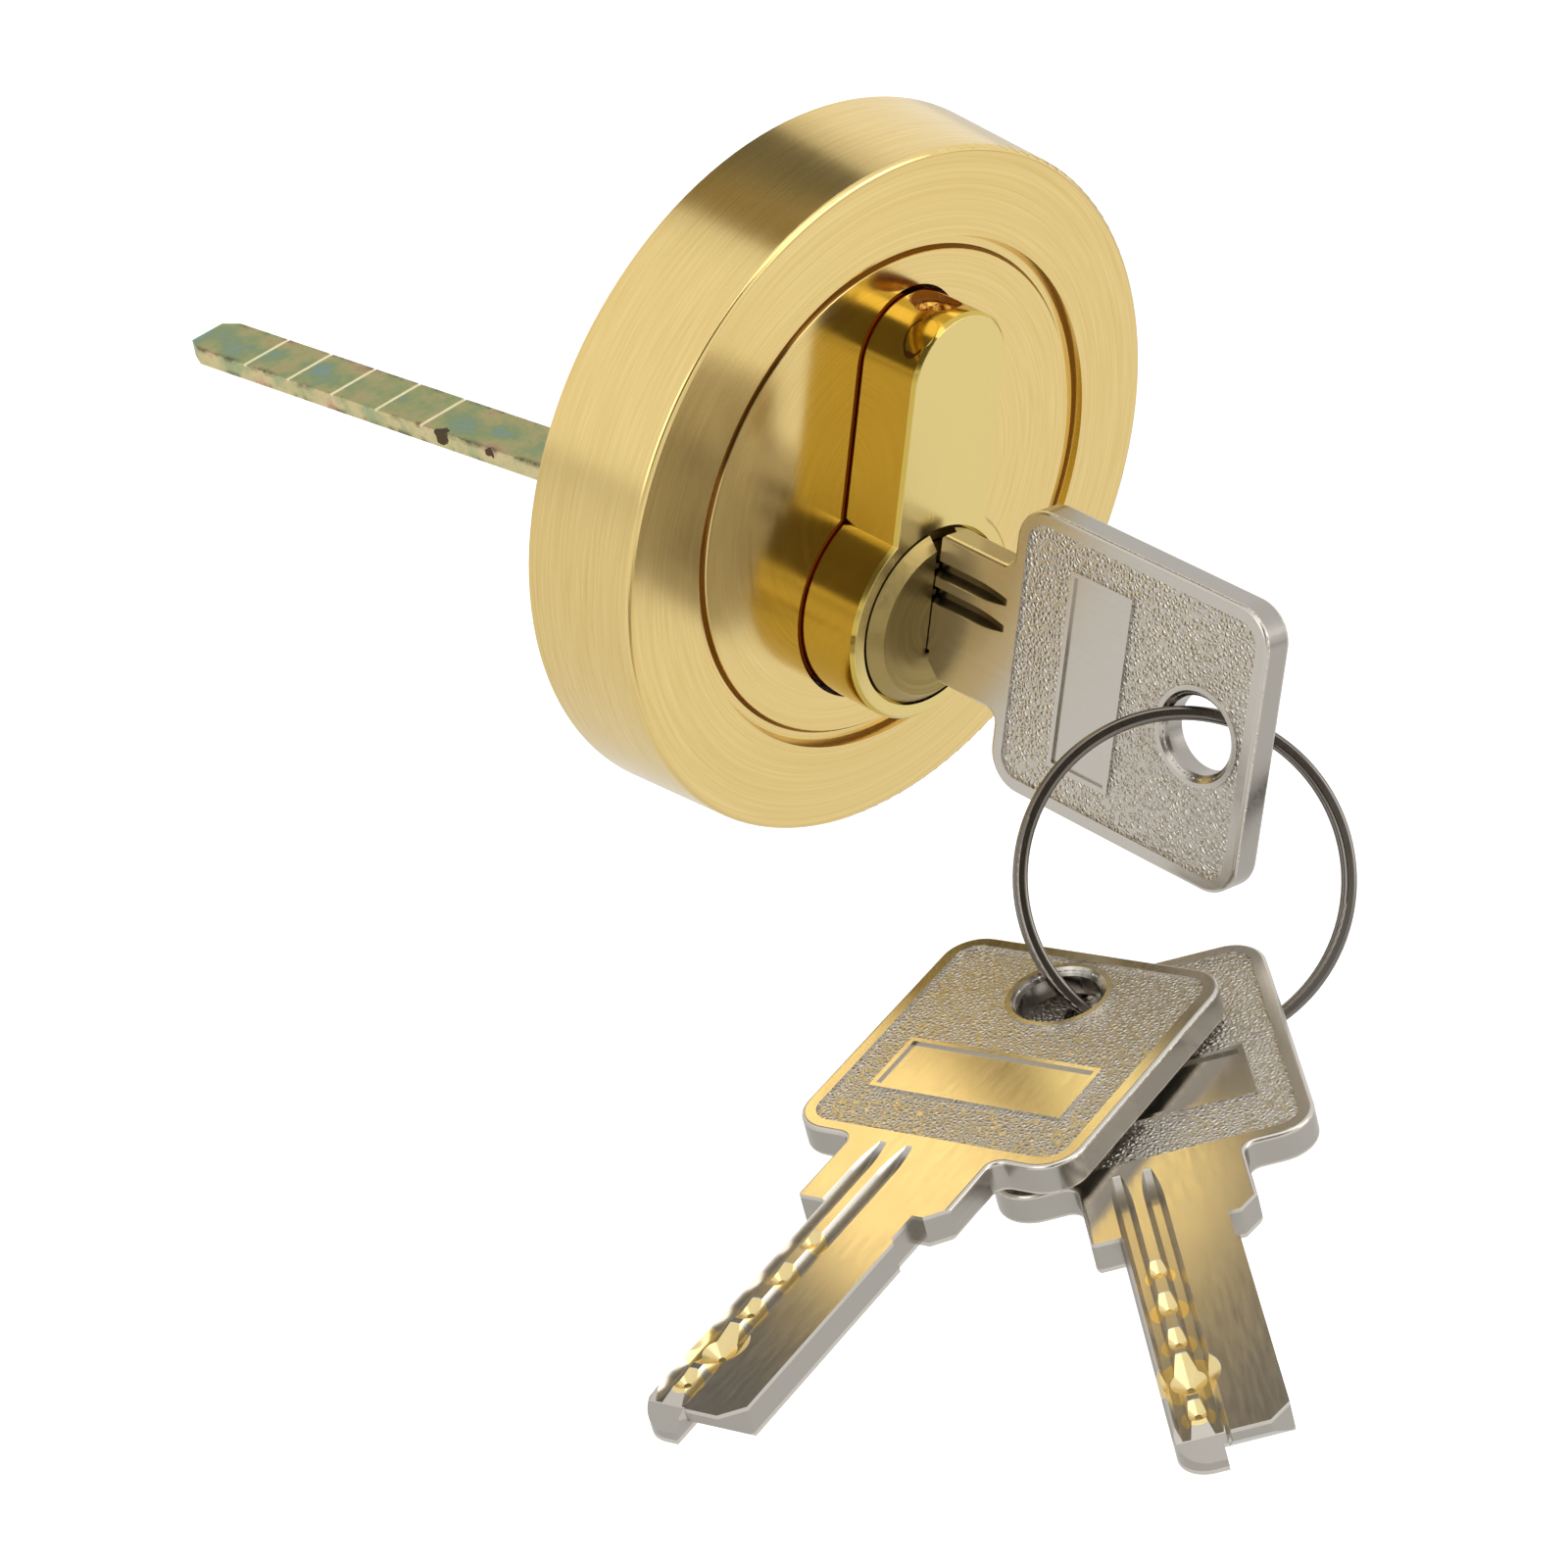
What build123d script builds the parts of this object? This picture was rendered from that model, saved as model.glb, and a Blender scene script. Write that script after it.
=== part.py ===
from build123d import *
import math
import os

os.makedirs("parts", exist_ok=True)

# Outside door cylinder with a round rose, a tail bar and three keys on a split ring.
# The origin is on the plug's axis in the plane of the door's face.
# X points right as seen from outside, Y into the door and Z up. All sizes are in mm.

# Profile of the cylinder: a round barrel with a fin above it
BARREL_R = 8.5
FIN_R = 5.0
PROFILE_H = 33.0
FIN_TOP = PROFILE_H - BARREL_R
FIN_MID = FIN_TOP - FIN_R
NOSE = 5.5  # how far the profile stands in front of the rose

# Rose
ROSE_R = 28.0
ROSE_FRONT_R = 27.4
ROSE_T = 9.7
LIP_T = 10.15  # the face's outer ring stands this far out at the groove
ROSE_WALL = 2.1
ROSE_Z = 8.0  # the rose's centre above the plug's axis
ROSE_EDGE = 0.45
ROSE_FALL = 0.2  # the outer ring of the face falls this much to its edge
GROOVE_R = (19.3, 20.5)
GROOVE_D = 0.4
CUTOUT_GAP = 0.32

# Places along Y, from the door's face
FRONT_Y = -(ROSE_T + NOSE)
FIN_REAR_Y = 6.0
BARREL_REAR_Y = 12.0

# Plug
PLUG_R = 6.9
BORE_R = PLUG_R + 0.03
HEAD_R = 7.05
HEAD_SEAT_R = 7.3
HEAD_L = 1.3
HEAD_FLAT_R = 6.1
HEAD_PROUD = 0.9
PLUG_REAR_Y = 14.8
RECESS_R = 4.5
RECESS_Y = 9.6

# Pin stacks
PIN_COUNT = 5
FIRST_PIN = 3.2  # from the cylinder's front
PIN_PITCH = 3.9
PIN_R = 1.45
CHAMBER_R = 1.5
MOUTH_R = 1.9  # the chamber's wider mouth in the fin's top
MOUTH_Z = 21.5
PIN_FLOOR_Z = 4.3  # where a key pin stops when the key is out
KEY_PIN_Z = (5.62, 6.58)
DRIVER_Z = (6.96, 11.6)
PIN_EDGE = 0.2
SPRING_R = (1.0, 1.35)
GUARD_R = 1.2
GUARD_X = 3.4
GUARD_SET = 1.35  # guard pins behind the cylinder's front
GUARD_Z = 11.0

# Keys, measured from the hole's centre: x towards the bow's end, y across, z out of the milled face
KEY_T = 2.5
KEY_RISE = 1.55  # the key's centre line above the plug's axis
KEY_GAP = 1.2  # shoulder in front of the cylinder's front
HOLE_R = 3.0
HOLE_EASE = 0.5
BOW_END = 5.35
BOW_L = 24.4
BOW_W = 22.9
BOW_R = 2.9
BOW_EASE = 0.3  # the round of the bow's edges at both faces
NECK_W = 11.8
SHOULDER = 26.2  # from the hole's centre to the shoulder
STOP_CORNERS = (1.4, 0.25)  # chamfers of the shoulder's lower and upper corner
BLADE_L = 23.65
BLADE_W = 7.9
HEEL = (22.8, 0.2)  # the blade's lower part ends here: from the shoulder, and across
HEEL_CORNER = (1.4, 1.5)
HEEL_BEVEL = (1.5, 1.5)  # bevel under the heel's end, along the blade and up
NOSE_SIDE = 0.8  # the narrow nose lies between this line and the blade's upper edge
NOSE_R = (2.2, 0.4)
RAMP = (20.4, 1.6)  # the nose falls away from here on: from the shoulder, and its drop
RELIEF = (3.0, 0.3)  # notch in the blade's lower edge beside the shoulder
FIELD_IN = 1.1  # border of the bow round the sunk field
FIELD_R = 1.7
FIELD_D = 0.22
PANEL = (6.0, 15.9)
PANEL_X = -10.45
PANEL_FRAME = 0.4
HOLE_RIM = 3.9
MILLED = ((3.05, 1.4), (0.9, 1.4))  # the two long grooves: distance from the centre line, and width
MILL_D = 0.75
MILL_FLOOR = 0.55  # the grooves' width at the bottom
MILL_END = 19.2  # where the grooves run out, from the hole's centre
MILL_CUTTER = 8.0
CUT_Y = 1.95
CUT_R = (1.05, 1.3, 1.2, 2.3, 1.15)
CUT_FLAT = 0.25
CUT_SLOPE = 0.7
BEVEL = (0.5, 0.7)

# Split ring, and where the loose keys hang on it: the hole's centre and three turns
RING_R = 12.0
STRAND = (1.0, 0.66)  # radial and axial
STRAND_EDGE = 0.3
RING_PITCH = 0.72
RING_SPLIT = 110.0  # where the second turn starts, round the ring from its side direction
RING_CROSSING = 24.0
RING_END_GAP = 4.0
RING_AT = (-4.25, FRONT_Y - 30.7, -7.66)
RING_AXIS = (0.564, 0.649, -0.511)
RING_SIDE = (0.649, -0.564, 0)
UPPER_AT = (-14.9, FRONT_Y - 29.64, -15.4)
UPPER_TURN = (-10.56, -15.53, 10.76)
LOWER_AT = (-11.56, FRONT_Y - 32.48, -16.8)
LOWER_TURN = (-9.72, -16.7, 49.54)

# Tail bar
BAR_W = 5.0
BAR_T = 1.5
BAR_L = 59.2
BAR_DROOP = 6.9
BAR_ROLL = 13.5
BAR_PIVOT = (0.0, 11.2, -0.88)
BAR_HEAD = (7.0, 2.4)
TIP_L = 1.6
TIP_W = 3.4
SCORES = 5
SCORE_PITCH = 5.6
LAST_SCORE = 7.9  # from the bar's end
SCORE_W = 0.4
SCORE_D = 0.22

# Carrier, fasteners and mounts
CARRIER_R = 25.7
CARRIER_T = 7.2
CARRIER_FIT = 0.05
POST_X = 19.0
POST_R = 2.1  # tapping size of M5
POST_DEPTH = 6.0
POCKET_R = 4.2
POCKET_AT = 18.6
POCKET_D = 5.0
CLIP_WIRE = 0.45
CLIP_R = 25.75
CLIP_Y = -2.8
GRUB_R = 1.95
GRUB_AT = (-3.6, 13.4)  # Y and Z of the grub screw's axis
GRUB_L = 12.0
CAP_R = 8.0
CAP_Y = (12.15, 16.35)
CAP_WALL = 1.5
WINDOW = (5.6, 6.2)
LOCK_PIN_R = 0.6
LOCK_PIN_Z = 5.7

pin_ys = [FRONT_Y + FIRST_PIN + i * PIN_PITCH for i in range(PIN_COUNT)]


def at(y):
    """Plane across the plug's axis at Y = y: local x is X, local y is Z, and it faces forwards."""
    return Plane.XZ.offset(-y)


def draw_profile(gap):
    """The cylinder's profile, larger all round by gap, into the open sketch."""
    Circle(BARREL_R + gap)
    with Locations((0, FIN_MID / 2)):
        Rectangle(2 * (FIN_R + gap), FIN_MID)
    with Locations((0, FIN_MID)):
        Circle(FIN_R + gap)


def save(part, label):
    part.label = label
    export_step(part, f"parts/{label}.step")


# Rose: a turned brass shell, open at the back, with the profile's cut-out
ROSE_PLANE = Plane(origin=(0, 0, ROSE_Z), x_dir=(1, 0, 0), z_dir=(0, 0, -1))
ROSE_AXIS = Axis((0, 0, ROSE_Z), (0, -1, 0))
face_edge_r = ROSE_FRONT_R - ROSE_EDGE
with BuildPart() as rose:
    with BuildSketch(ROSE_PLANE) as rose_section:
        with BuildLine():
            face = Polyline(
                (0, ROSE_T),
                (GROOVE_R[0], ROSE_T),
                (GROOVE_R[0] + 0.3, ROSE_T - GROOVE_D),
                (GROOVE_R[1] - 0.3, ROSE_T - GROOVE_D),
                (GROOVE_R[1], LIP_T),
                (face_edge_r, LIP_T - ROSE_FALL),
            )
            edge = TangentArc(face @ 1, (ROSE_FRONT_R, LIP_T - ROSE_FALL - ROSE_EDGE), tangent=face % 1)
            Polyline(
                edge @ 1,
                (ROSE_R, 0),
                (ROSE_R - ROSE_WALL, 0),
                (ROSE_R - ROSE_WALL, ROSE_T - ROSE_WALL),
                (0, ROSE_T - ROSE_WALL),
                (0, ROSE_T),
            )
        make_face()
    revolve(axis=ROSE_AXIS)
    with BuildSketch(at(0)):
        draw_profile(CUTOUT_GAP)
    extrude(amount=ROSE_T + 1, mode=Mode.SUBTRACT)
    with BuildSketch(ROSE_PLANE):
        with Locations((CLIP_R, -CLIP_Y)):
            Circle(CLIP_WIRE + 0.1)
    revolve(axis=ROSE_AXIS, mode=Mode.SUBTRACT)
save(rose.part, "rose")

# Carrier: a cast disc inside the rose that holds the cylinder and takes the two bolts from inside
with BuildPart() as carrier:
    with BuildSketch(at(0)):
        with Locations((0, ROSE_Z)):
            Circle(CARRIER_R)
        with Locations((0, 0)):
            Circle(BARREL_R + CARRIER_FIT, mode=Mode.SUBTRACT)
        with Locations((0, FIN_MID / 2)):
            Rectangle(2 * (FIN_R + CARRIER_FIT), FIN_MID, mode=Mode.SUBTRACT)
        with Locations((0, FIN_MID)):
            Circle(FIN_R + CARRIER_FIT, mode=Mode.SUBTRACT)
    extrude(amount=CARRIER_T)
    with BuildSketch(at(0)):
        with Locations((0, ROSE_Z)):
            with PolarLocations(POCKET_AT, 4, start_angle=45):
                Circle(POCKET_R)
    extrude(amount=POCKET_D, mode=Mode.SUBTRACT)
    with BuildSketch(at(0)):
        with Locations((-POST_X, ROSE_Z), (POST_X, ROSE_Z)):
            Circle(POST_R)
    extrude(amount=POST_DEPTH, mode=Mode.SUBTRACT)
    with BuildSketch(ROSE_PLANE):
        with Locations((CARRIER_R, -CLIP_Y)):
            Rectangle(1.1, 2 * CLIP_WIRE + 0.2)
    revolve(axis=ROSE_AXIS, mode=Mode.SUBTRACT)
    with BuildSketch(Plane.YZ.offset(FIN_R)):
        with Locations(GRUB_AT):
            Circle(GRUB_R + CARRIER_FIT)
    extrude(amount=ROSE_R, mode=Mode.SUBTRACT)
save(carrier.part, "carrier")

# Clip: an open ring of spring wire, half in the carrier's groove and half in the rose's
with BuildPart() as rose_clip:
    with BuildSketch(ROSE_PLANE):
        with Locations((CLIP_R, -CLIP_Y)):
            Circle(CLIP_WIRE)
    revolve(axis=ROSE_AXIS, revolution_arc=330)
save(rose_clip.part, "rose_clip")

# Grub screw: M4 with a cone point, through the carrier's side into the fin's flank
with BuildPart() as grub:
    with BuildSketch(Plane.YZ.offset(FIN_R)):
        with Locations(GRUB_AT):
            Circle(GRUB_R)
    extrude(amount=GRUB_L)
    with BuildSketch(Plane.YZ.offset(FIN_R)):
        with Locations(GRUB_AT):
            Circle(GRUB_R - 0.55)
    extrude(amount=-0.7, taper=45)
    with BuildSketch(Plane.YZ.offset(FIN_R + GRUB_L)):
        with Locations(GRUB_AT):
            RegularPolygon(1.1, 6)
    extrude(amount=-2.0, mode=Mode.SUBTRACT)
save(grub.part, "cylinder_grub_screw")

# Cylinder body: brass profile bar with the plug's bore and the pin chambers in its fin
with BuildPart() as cylinder_body:
    with BuildSketch(at(FIN_REAR_Y)):
        draw_profile(0)
    extrude(amount=FIN_REAR_Y - FRONT_Y)
    chamfer(cylinder_body.faces().sort_by(Axis.Y)[0].edges(), 0.3)
    with BuildSketch(at(BARREL_REAR_Y)):
        Circle(BARREL_R)
    extrude(amount=BARREL_REAR_Y - FIN_REAR_Y)
    with BuildSketch(at(BARREL_REAR_Y)):
        Circle(BORE_R)
    extrude(amount=BARREL_REAR_Y - FRONT_Y + 1, mode=Mode.SUBTRACT)
    with BuildSketch(at(FRONT_Y + HEAD_L + 0.1)):
        Circle(HEAD_SEAT_R)
    extrude(amount=HEAD_L + 1, mode=Mode.SUBTRACT)
    with BuildSketch(Plane.XY.offset(FIN_TOP + 1)):
        with Locations(*[(0, y) for y in pin_ys]):
            Circle(CHAMBER_R)
    extrude(amount=-(FIN_TOP + 1 - BORE_R / 2), mode=Mode.SUBTRACT)
    with BuildSketch(Plane.XY.offset(MOUTH_Z)):
        with Locations(*[(0, y) for y in pin_ys]):
            Circle(MOUTH_R)
    extrude(amount=FIN_TOP, mode=Mode.SUBTRACT)
    with BuildSketch(Plane.XY.offset(GUARD_Z)):
        with Locations(*[(side * GUARD_X, FRONT_Y + GUARD_SET) for side in (-1, 1)]):
            Circle(GUARD_R)
    extrude(amount=FIN_TOP, mode=Mode.SUBTRACT)
    with BuildSketch(Plane.YZ.offset(FIN_R)):
        with Locations(GRUB_AT):
            Circle(GRUB_R - 0.45)
    extrude(amount=-0.85, taper=45, mode=Mode.SUBTRACT)
save(cylinder_body.part, "cylinder_body")

# Chamber plugs: five brass slugs that close the chambers, dished on top by the punch
with BuildPart() as chamber_plugs:
    with BuildSketch(Plane.XY.offset(MOUTH_Z + 0.05)):
        with Locations(*[(0, y) for y in pin_ys]):
            Circle(MOUTH_R - 0.02)
    extrude(amount=2.1)
    with BuildSketch(Plane.XY.offset(MOUTH_Z + 2.15)):
        with Locations(*[(0, y) for y in pin_ys]):
            Circle(MOUTH_R - 0.4)
    extrude(amount=-0.5, taper=30, mode=Mode.SUBTRACT)
save(chamber_plugs.part, "chamber_plugs")

# Guard pins: two hardened pins against drilling, ground flush with the fin's round top
with BuildPart() as guard_pins:
    with BuildSketch(Plane.XY.offset(GUARD_Z + 0.05)):
        with Locations(*[(side * GUARD_X, FRONT_Y + GUARD_SET) for side in (-1, 1)]):
            Circle(GUARD_R - 0.02)
    extrude(amount=FIN_TOP)
    with BuildSketch(at(FIN_REAR_Y)):
        Rectangle(2 * FIN_R, 2 * FIN_MID)
        with Locations((0, FIN_MID)):
            Circle(FIN_R)
    extrude(amount=FIN_REAR_Y - FRONT_Y, mode=Mode.INTERSECT)
save(guard_pins.part, "guard_pins")


# Pin stacks: a key pin in the plug, a driver pin and its spring in the fin, one of each in a chamber
def make_pin(y, z_span):
    """A round pin with eased ends."""
    with BuildPart() as pin:
        with BuildSketch(Plane.XY.offset(z_span[0])):
            with Locations((0, y)):
                Circle(PIN_R)
        extrude(amount=z_span[1] - z_span[0])
        chamfer(pin.faces().filter_by(Plane.XY).edges(), PIN_EDGE)
    return pin.part


def make_pin_spring(y):
    """The space of one coil spring, between its driver pin and its chamber plug."""
    with BuildPart() as spring:
        with BuildSketch(Plane.XY.offset(DRIVER_Z[1] + 0.05)):
            with Locations((0, y)):
                Circle(SPRING_R[1])
                Circle(SPRING_R[0], mode=Mode.SUBTRACT)
        extrude(amount=MOUTH_Z - DRIVER_Z[1] - 0.05)
    return spring.part


for number, pin_y in enumerate(pin_ys, start=1):
    save(make_pin(pin_y, KEY_PIN_Z), f"key_pin_{number}")
    save(make_pin(pin_y, DRIVER_Z), f"driver_pin_{number}")
    save(make_pin_spring(pin_y), f"pin_spring_{number}")

# Plug: turned brass with a bevelled head, the keyway with its two wards, and the tail bar's recess
head_rear = FRONT_Y + HEAD_L
blade_z = (KEY_RISE - BLADE_W / 2 - 0.1, KEY_RISE + BLADE_W / 2 + 0.1)
keyway_rear = FRONT_Y - KEY_GAP + BLADE_L + 1.0
with BuildPart() as plug:
    with BuildSketch(at(PLUG_REAR_Y)):
        Circle(PLUG_R)
    extrude(amount=PLUG_REAR_Y - head_rear)
    with BuildSketch(at(head_rear)):
        Circle(HEAD_R)
    extrude(amount=HEAD_L)
    with BuildSketch(at(FRONT_Y)):
        Circle(HEAD_R)
    extrude(amount=HEAD_PROUD, taper=math.degrees(math.atan2(HEAD_R - HEAD_FLAT_R, HEAD_PROUD)))
    with BuildSketch(at(keyway_rear)):
        with Locations((0, sum(blade_z) / 2)):
            Rectangle(KEY_T + 0.2, blade_z[1] - blade_z[0])
    extrude(amount=keyway_rear - FRONT_Y + 2, mode=Mode.SUBTRACT)
    with BuildSketch(at(keyway_rear)):
        for groove_y, groove_w in MILLED:
            with Locations((-KEY_T / 2 + 0.15, KEY_RISE + groove_y)):
                Rectangle(0.7, MILL_FLOOR - 0.1)
    extrude(amount=keyway_rear - FRONT_Y + HEAD_PROUD - 0.2)
    with BuildSketch(at(head_rear)):
        with Locations((0, blade_z[1] + 1)):
            Rectangle(KEY_T + 0.2, 2.1)
    extrude(amount=HEAD_L + 2, mode=Mode.SUBTRACT)
    with BuildSketch(Plane.XY.offset(PIN_FLOOR_Z)):
        with Locations(*[(0, y) for y in pin_ys]):
            Circle(CHAMBER_R)
    extrude(amount=PLUG_R, mode=Mode.SUBTRACT)
    with BuildSketch(at(PLUG_REAR_Y)):
        Circle(RECESS_R)
    extrude(amount=PLUG_REAR_Y - RECESS_Y, mode=Mode.SUBTRACT)
    with BuildSketch(at(PLUG_REAR_Y)):
        with Locations((0, LOCK_PIN_Z)):
            Circle(LOCK_PIN_R + 0.02)
    extrude(amount=4.4, mode=Mode.SUBTRACT)
save(plug.part, "plug")

# Tail cap: a threaded steel cap on the plug's rear end; its window holds the tail bar
with BuildPart() as tail_cap:
    with BuildSketch(at(CAP_Y[1])):
        Circle(CAP_R)
    extrude(amount=CAP_Y[1] - CAP_Y[0])
    chamfer(tail_cap.faces().sort_by(Axis.Y)[-1].edges(), 0.4)
    with BuildSketch(at(CAP_Y[1] - CAP_WALL)):
        Circle(PLUG_R + 0.05)
    extrude(amount=CAP_Y[1] - CAP_WALL - CAP_Y[0], mode=Mode.SUBTRACT)
    with BuildSketch(at(CAP_Y[1])):
        Rectangle(*WINDOW)
        with Locations((-CAP_R, 0), (CAP_R, 0)):
            Rectangle(2.0, 2.2)
    extrude(amount=CAP_WALL, mode=Mode.SUBTRACT)
    with BuildSketch(at(CAP_Y[1] - CAP_WALL)):
        with Locations((0, LOCK_PIN_Z)):
            Circle(LOCK_PIN_R + 0.05)
    extrude(amount=-0.5, mode=Mode.SUBTRACT)
save(tail_cap.part, "tail_cap")

# Lock pin of the cap, and its spring, in a blind hole in the plug's rear face
with BuildPart() as cap_lock_pin:
    with BuildSketch(at(CAP_Y[1] - CAP_WALL + 0.4)):
        with Locations((0, LOCK_PIN_Z)):
            Circle(LOCK_PIN_R)
    extrude(amount=2.6)
save(cap_lock_pin.part, "cap_lock_pin")

with BuildPart() as cap_lock_spring:
    with BuildSketch(at(CAP_Y[1] - CAP_WALL - 2.25)):
        with Locations((0, LOCK_PIN_Z)):
            Circle(LOCK_PIN_R - 0.05)
            Circle(LOCK_PIN_R - 0.25, mode=Mode.SUBTRACT)
    extrude(amount=2.1)
save(cap_lock_spring.part, "cap_lock_spring")

# Tail bar: flat zinc-plated steel, scored across so that it snaps to length, with a wide head
# that sits loose in the plug's recess, so the bar hangs a few degrees down and rolled
BAR_PLANE = Plane(Location(BAR_PIVOT, (-BAR_DROOP, -BAR_ROLL, 0)))
BAR_SIDE = Plane(origin=BAR_PIVOT, x_dir=BAR_PLANE.y_dir, z_dir=BAR_PLANE.x_dir)
with BuildPart() as tail_bar:
    with BuildSketch(BAR_PLANE):
        with BuildLine():
            Polyline(
                (-BAR_W / 2, 0),
                (-BAR_W / 2, BAR_L - TIP_L),
                (-TIP_W / 2, BAR_L),
                (TIP_W / 2, BAR_L),
                (BAR_W / 2, BAR_L - TIP_L),
                (BAR_W / 2, 0),
                close=True,
            )
        make_face()
        Rectangle(*BAR_HEAD)
    extrude(amount=BAR_T / 2, both=True)
    with BuildSketch(BAR_SIDE):
        for number in range(SCORES):
            score = BAR_L - LAST_SCORE - number * SCORE_PITCH
            with BuildLine():
                Polyline(
                    (score - SCORE_W / 2, BAR_T / 2 + 0.01),
                    (score, BAR_T / 2 - SCORE_D),
                    (score + SCORE_W / 2, BAR_T / 2 + 0.01),
                    close=True,
                )
            make_face()
    extrude(amount=BAR_W, both=True, mode=Mode.SUBTRACT)
save(tail_bar.part, "tail_bar")


# Keys: cast nickel-plated brass, all cut alike, with two long grooves and five cuts in one face
def make_key(where):
    """One key. The plane's origin is the hole's centre at half the key's thickness."""
    across = Plane(origin=where.origin, x_dir=where.x_dir, z_dir=-where.y_dir)
    with BuildPart() as key:
        with BuildSketch(where.offset(-KEY_T / 2)) as outline:
            with Locations((BOW_END - BOW_L / 2, 0)):
                Rectangle(BOW_L, BOW_W)
            fillet(outline.vertices(), BOW_R)
            with Locations((-SHOULDER + 5, 0)):
                Rectangle(10, NECK_W)
            inner = outline.vertices().filter_by_position(Axis.X, BOW_END - BOW_L - 0.1, BOW_END - BOW_L + 0.1)
            fillet(inner.filter_by_position(Axis.Y, -NECK_W / 2 - 0.1, NECK_W / 2 + 0.1), 1.0)
        extrude(amount=KEY_T)
        # the round of the bow's edges, which ends before the neck's shoulder
        rims = [
            edge
            for edge in key.edges().filter_by(GeomType.LINE) + key.edges().filter_by(GeomType.CIRCLE)
            if abs(abs(where.to_local_coords(edge.center()).Z) - KEY_T / 2) < 0.01
            and where.to_local_coords(edge.center()).X > -SHOULDER + 0.1
        ]
        fillet(rims, BOW_EASE)
        # the shoulder's corners and the blade: its lower part ends square, its upper part in a nose
        with BuildSketch(where.offset(-KEY_T / 2)) as blade:
            with BuildLine():
                Polyline(
                    (-SHOULDER + 1, BLADE_W / 2),
                    (-SHOULDER - BLADE_L, BLADE_W / 2),
                    (-SHOULDER - BLADE_L, NOSE_SIDE),
                    (-SHOULDER - HEEL[0], HEEL[1]),
                    (-SHOULDER - HEEL[0], -BLADE_W / 2 + HEEL_CORNER[1]),
                    (-SHOULDER - HEEL[0] + HEEL_CORNER[0], -BLADE_W / 2),
                    (-SHOULDER - RELIEF[0], -BLADE_W / 2),
                    (-SHOULDER - RELIEF[0] + RELIEF[1], -BLADE_W / 2 + RELIEF[1]),
                    (-SHOULDER + 1, -BLADE_W / 2 + RELIEF[1]),
                    close=True,
                )
            make_face()
            tip = blade.vertices().group_by(Axis.X)[0].sort_by(Axis.Y)
            fillet(tip[-1], NOSE_R[0])
            fillet(tip[0], NOSE_R[1])
        extrude(amount=KEY_T)
        with BuildSketch(where.offset(-KEY_T / 2)):
            for side, cut in zip((-1, 1), STOP_CORNERS):
                with BuildLine():
                    Polyline(
                        (-SHOULDER, side * NECK_W / 2),
                        (-SHOULDER, side * (NECK_W / 2 - cut)),
                        (-SHOULDER + cut, side * NECK_W / 2),
                        close=True,
                    )
                make_face()
        extrude(amount=KEY_T, mode=Mode.SUBTRACT)
        # the ramp of the nose on the milled face
        with BuildSketch(across.offset(-NOSE_SIDE + 0.3)):
            with BuildLine():
                Polyline(
                    (-SHOULDER - RAMP[0], KEY_T / 2),
                    (-SHOULDER - BLADE_L, KEY_T / 2 - RAMP[1]),
                    (-SHOULDER - BLADE_L - 1, KEY_T / 2 - RAMP[1]),
                    (-SHOULDER - BLADE_L - 1, KEY_T / 2 + 1),
                    (-SHOULDER - RAMP[0], KEY_T / 2 + 1),
                    close=True,
                )
            make_face()
        extrude(amount=-BLADE_W, mode=Mode.SUBTRACT)
        # the bevel under the heel's end, beside the nose
        with BuildSketch(across.offset(-NOSE_SIDE)):
            with BuildLine():
                Polyline(
                    (-SHOULDER - HEEL[0] - 1, -KEY_T / 2 - 0.01),
                    (-SHOULDER - HEEL[0] + HEEL_BEVEL[0], -KEY_T / 2 - 0.01),
                    (-SHOULDER - HEEL[0], -KEY_T / 2 + HEEL_BEVEL[1]),
                    (-SHOULDER - HEEL[0] - 1, -KEY_T / 2 + HEEL_BEVEL[1]),
                    close=True,
                )
            make_face()
        extrude(amount=BLADE_W, mode=Mode.SUBTRACT)
        # the hole, eased at both faces
        with BuildSketch(across):
            with BuildLine():
                Polyline(
                    (0, -KEY_T / 2 - 0.1),
                    (HOLE_R + HOLE_EASE + 0.1, -KEY_T / 2 - 0.1),
                    (HOLE_R, -KEY_T / 2 + HOLE_EASE),
                    (HOLE_R, KEY_T / 2 - HOLE_EASE),
                    (HOLE_R + HOLE_EASE + 0.1, KEY_T / 2 + 0.1),
                    (0, KEY_T / 2 + 0.1),
                    close=True,
                )
            make_face()
        revolve(axis=Axis(where.origin, where.z_dir), mode=Mode.SUBTRACT)
        # the sunk field on both sides of the bow, round a plain panel and the hole's rim
        for face in (1, -1):
            with BuildSketch(where.offset(face * KEY_T / 2)):
                with Locations((BOW_END - BOW_L / 2, 0)):
                    RectangleRounded(BOW_L - 2 * FIELD_IN, BOW_W - 2 * FIELD_IN, FIELD_R)
                with Locations((PANEL_X, 0)):
                    Rectangle(*PANEL, mode=Mode.SUBTRACT)
                    Rectangle(*[side - 2 * PANEL_FRAME for side in PANEL])
                Circle(HOLE_RIM, mode=Mode.SUBTRACT)
            extrude(amount=-face * FIELD_D, mode=Mode.SUBTRACT)
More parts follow.
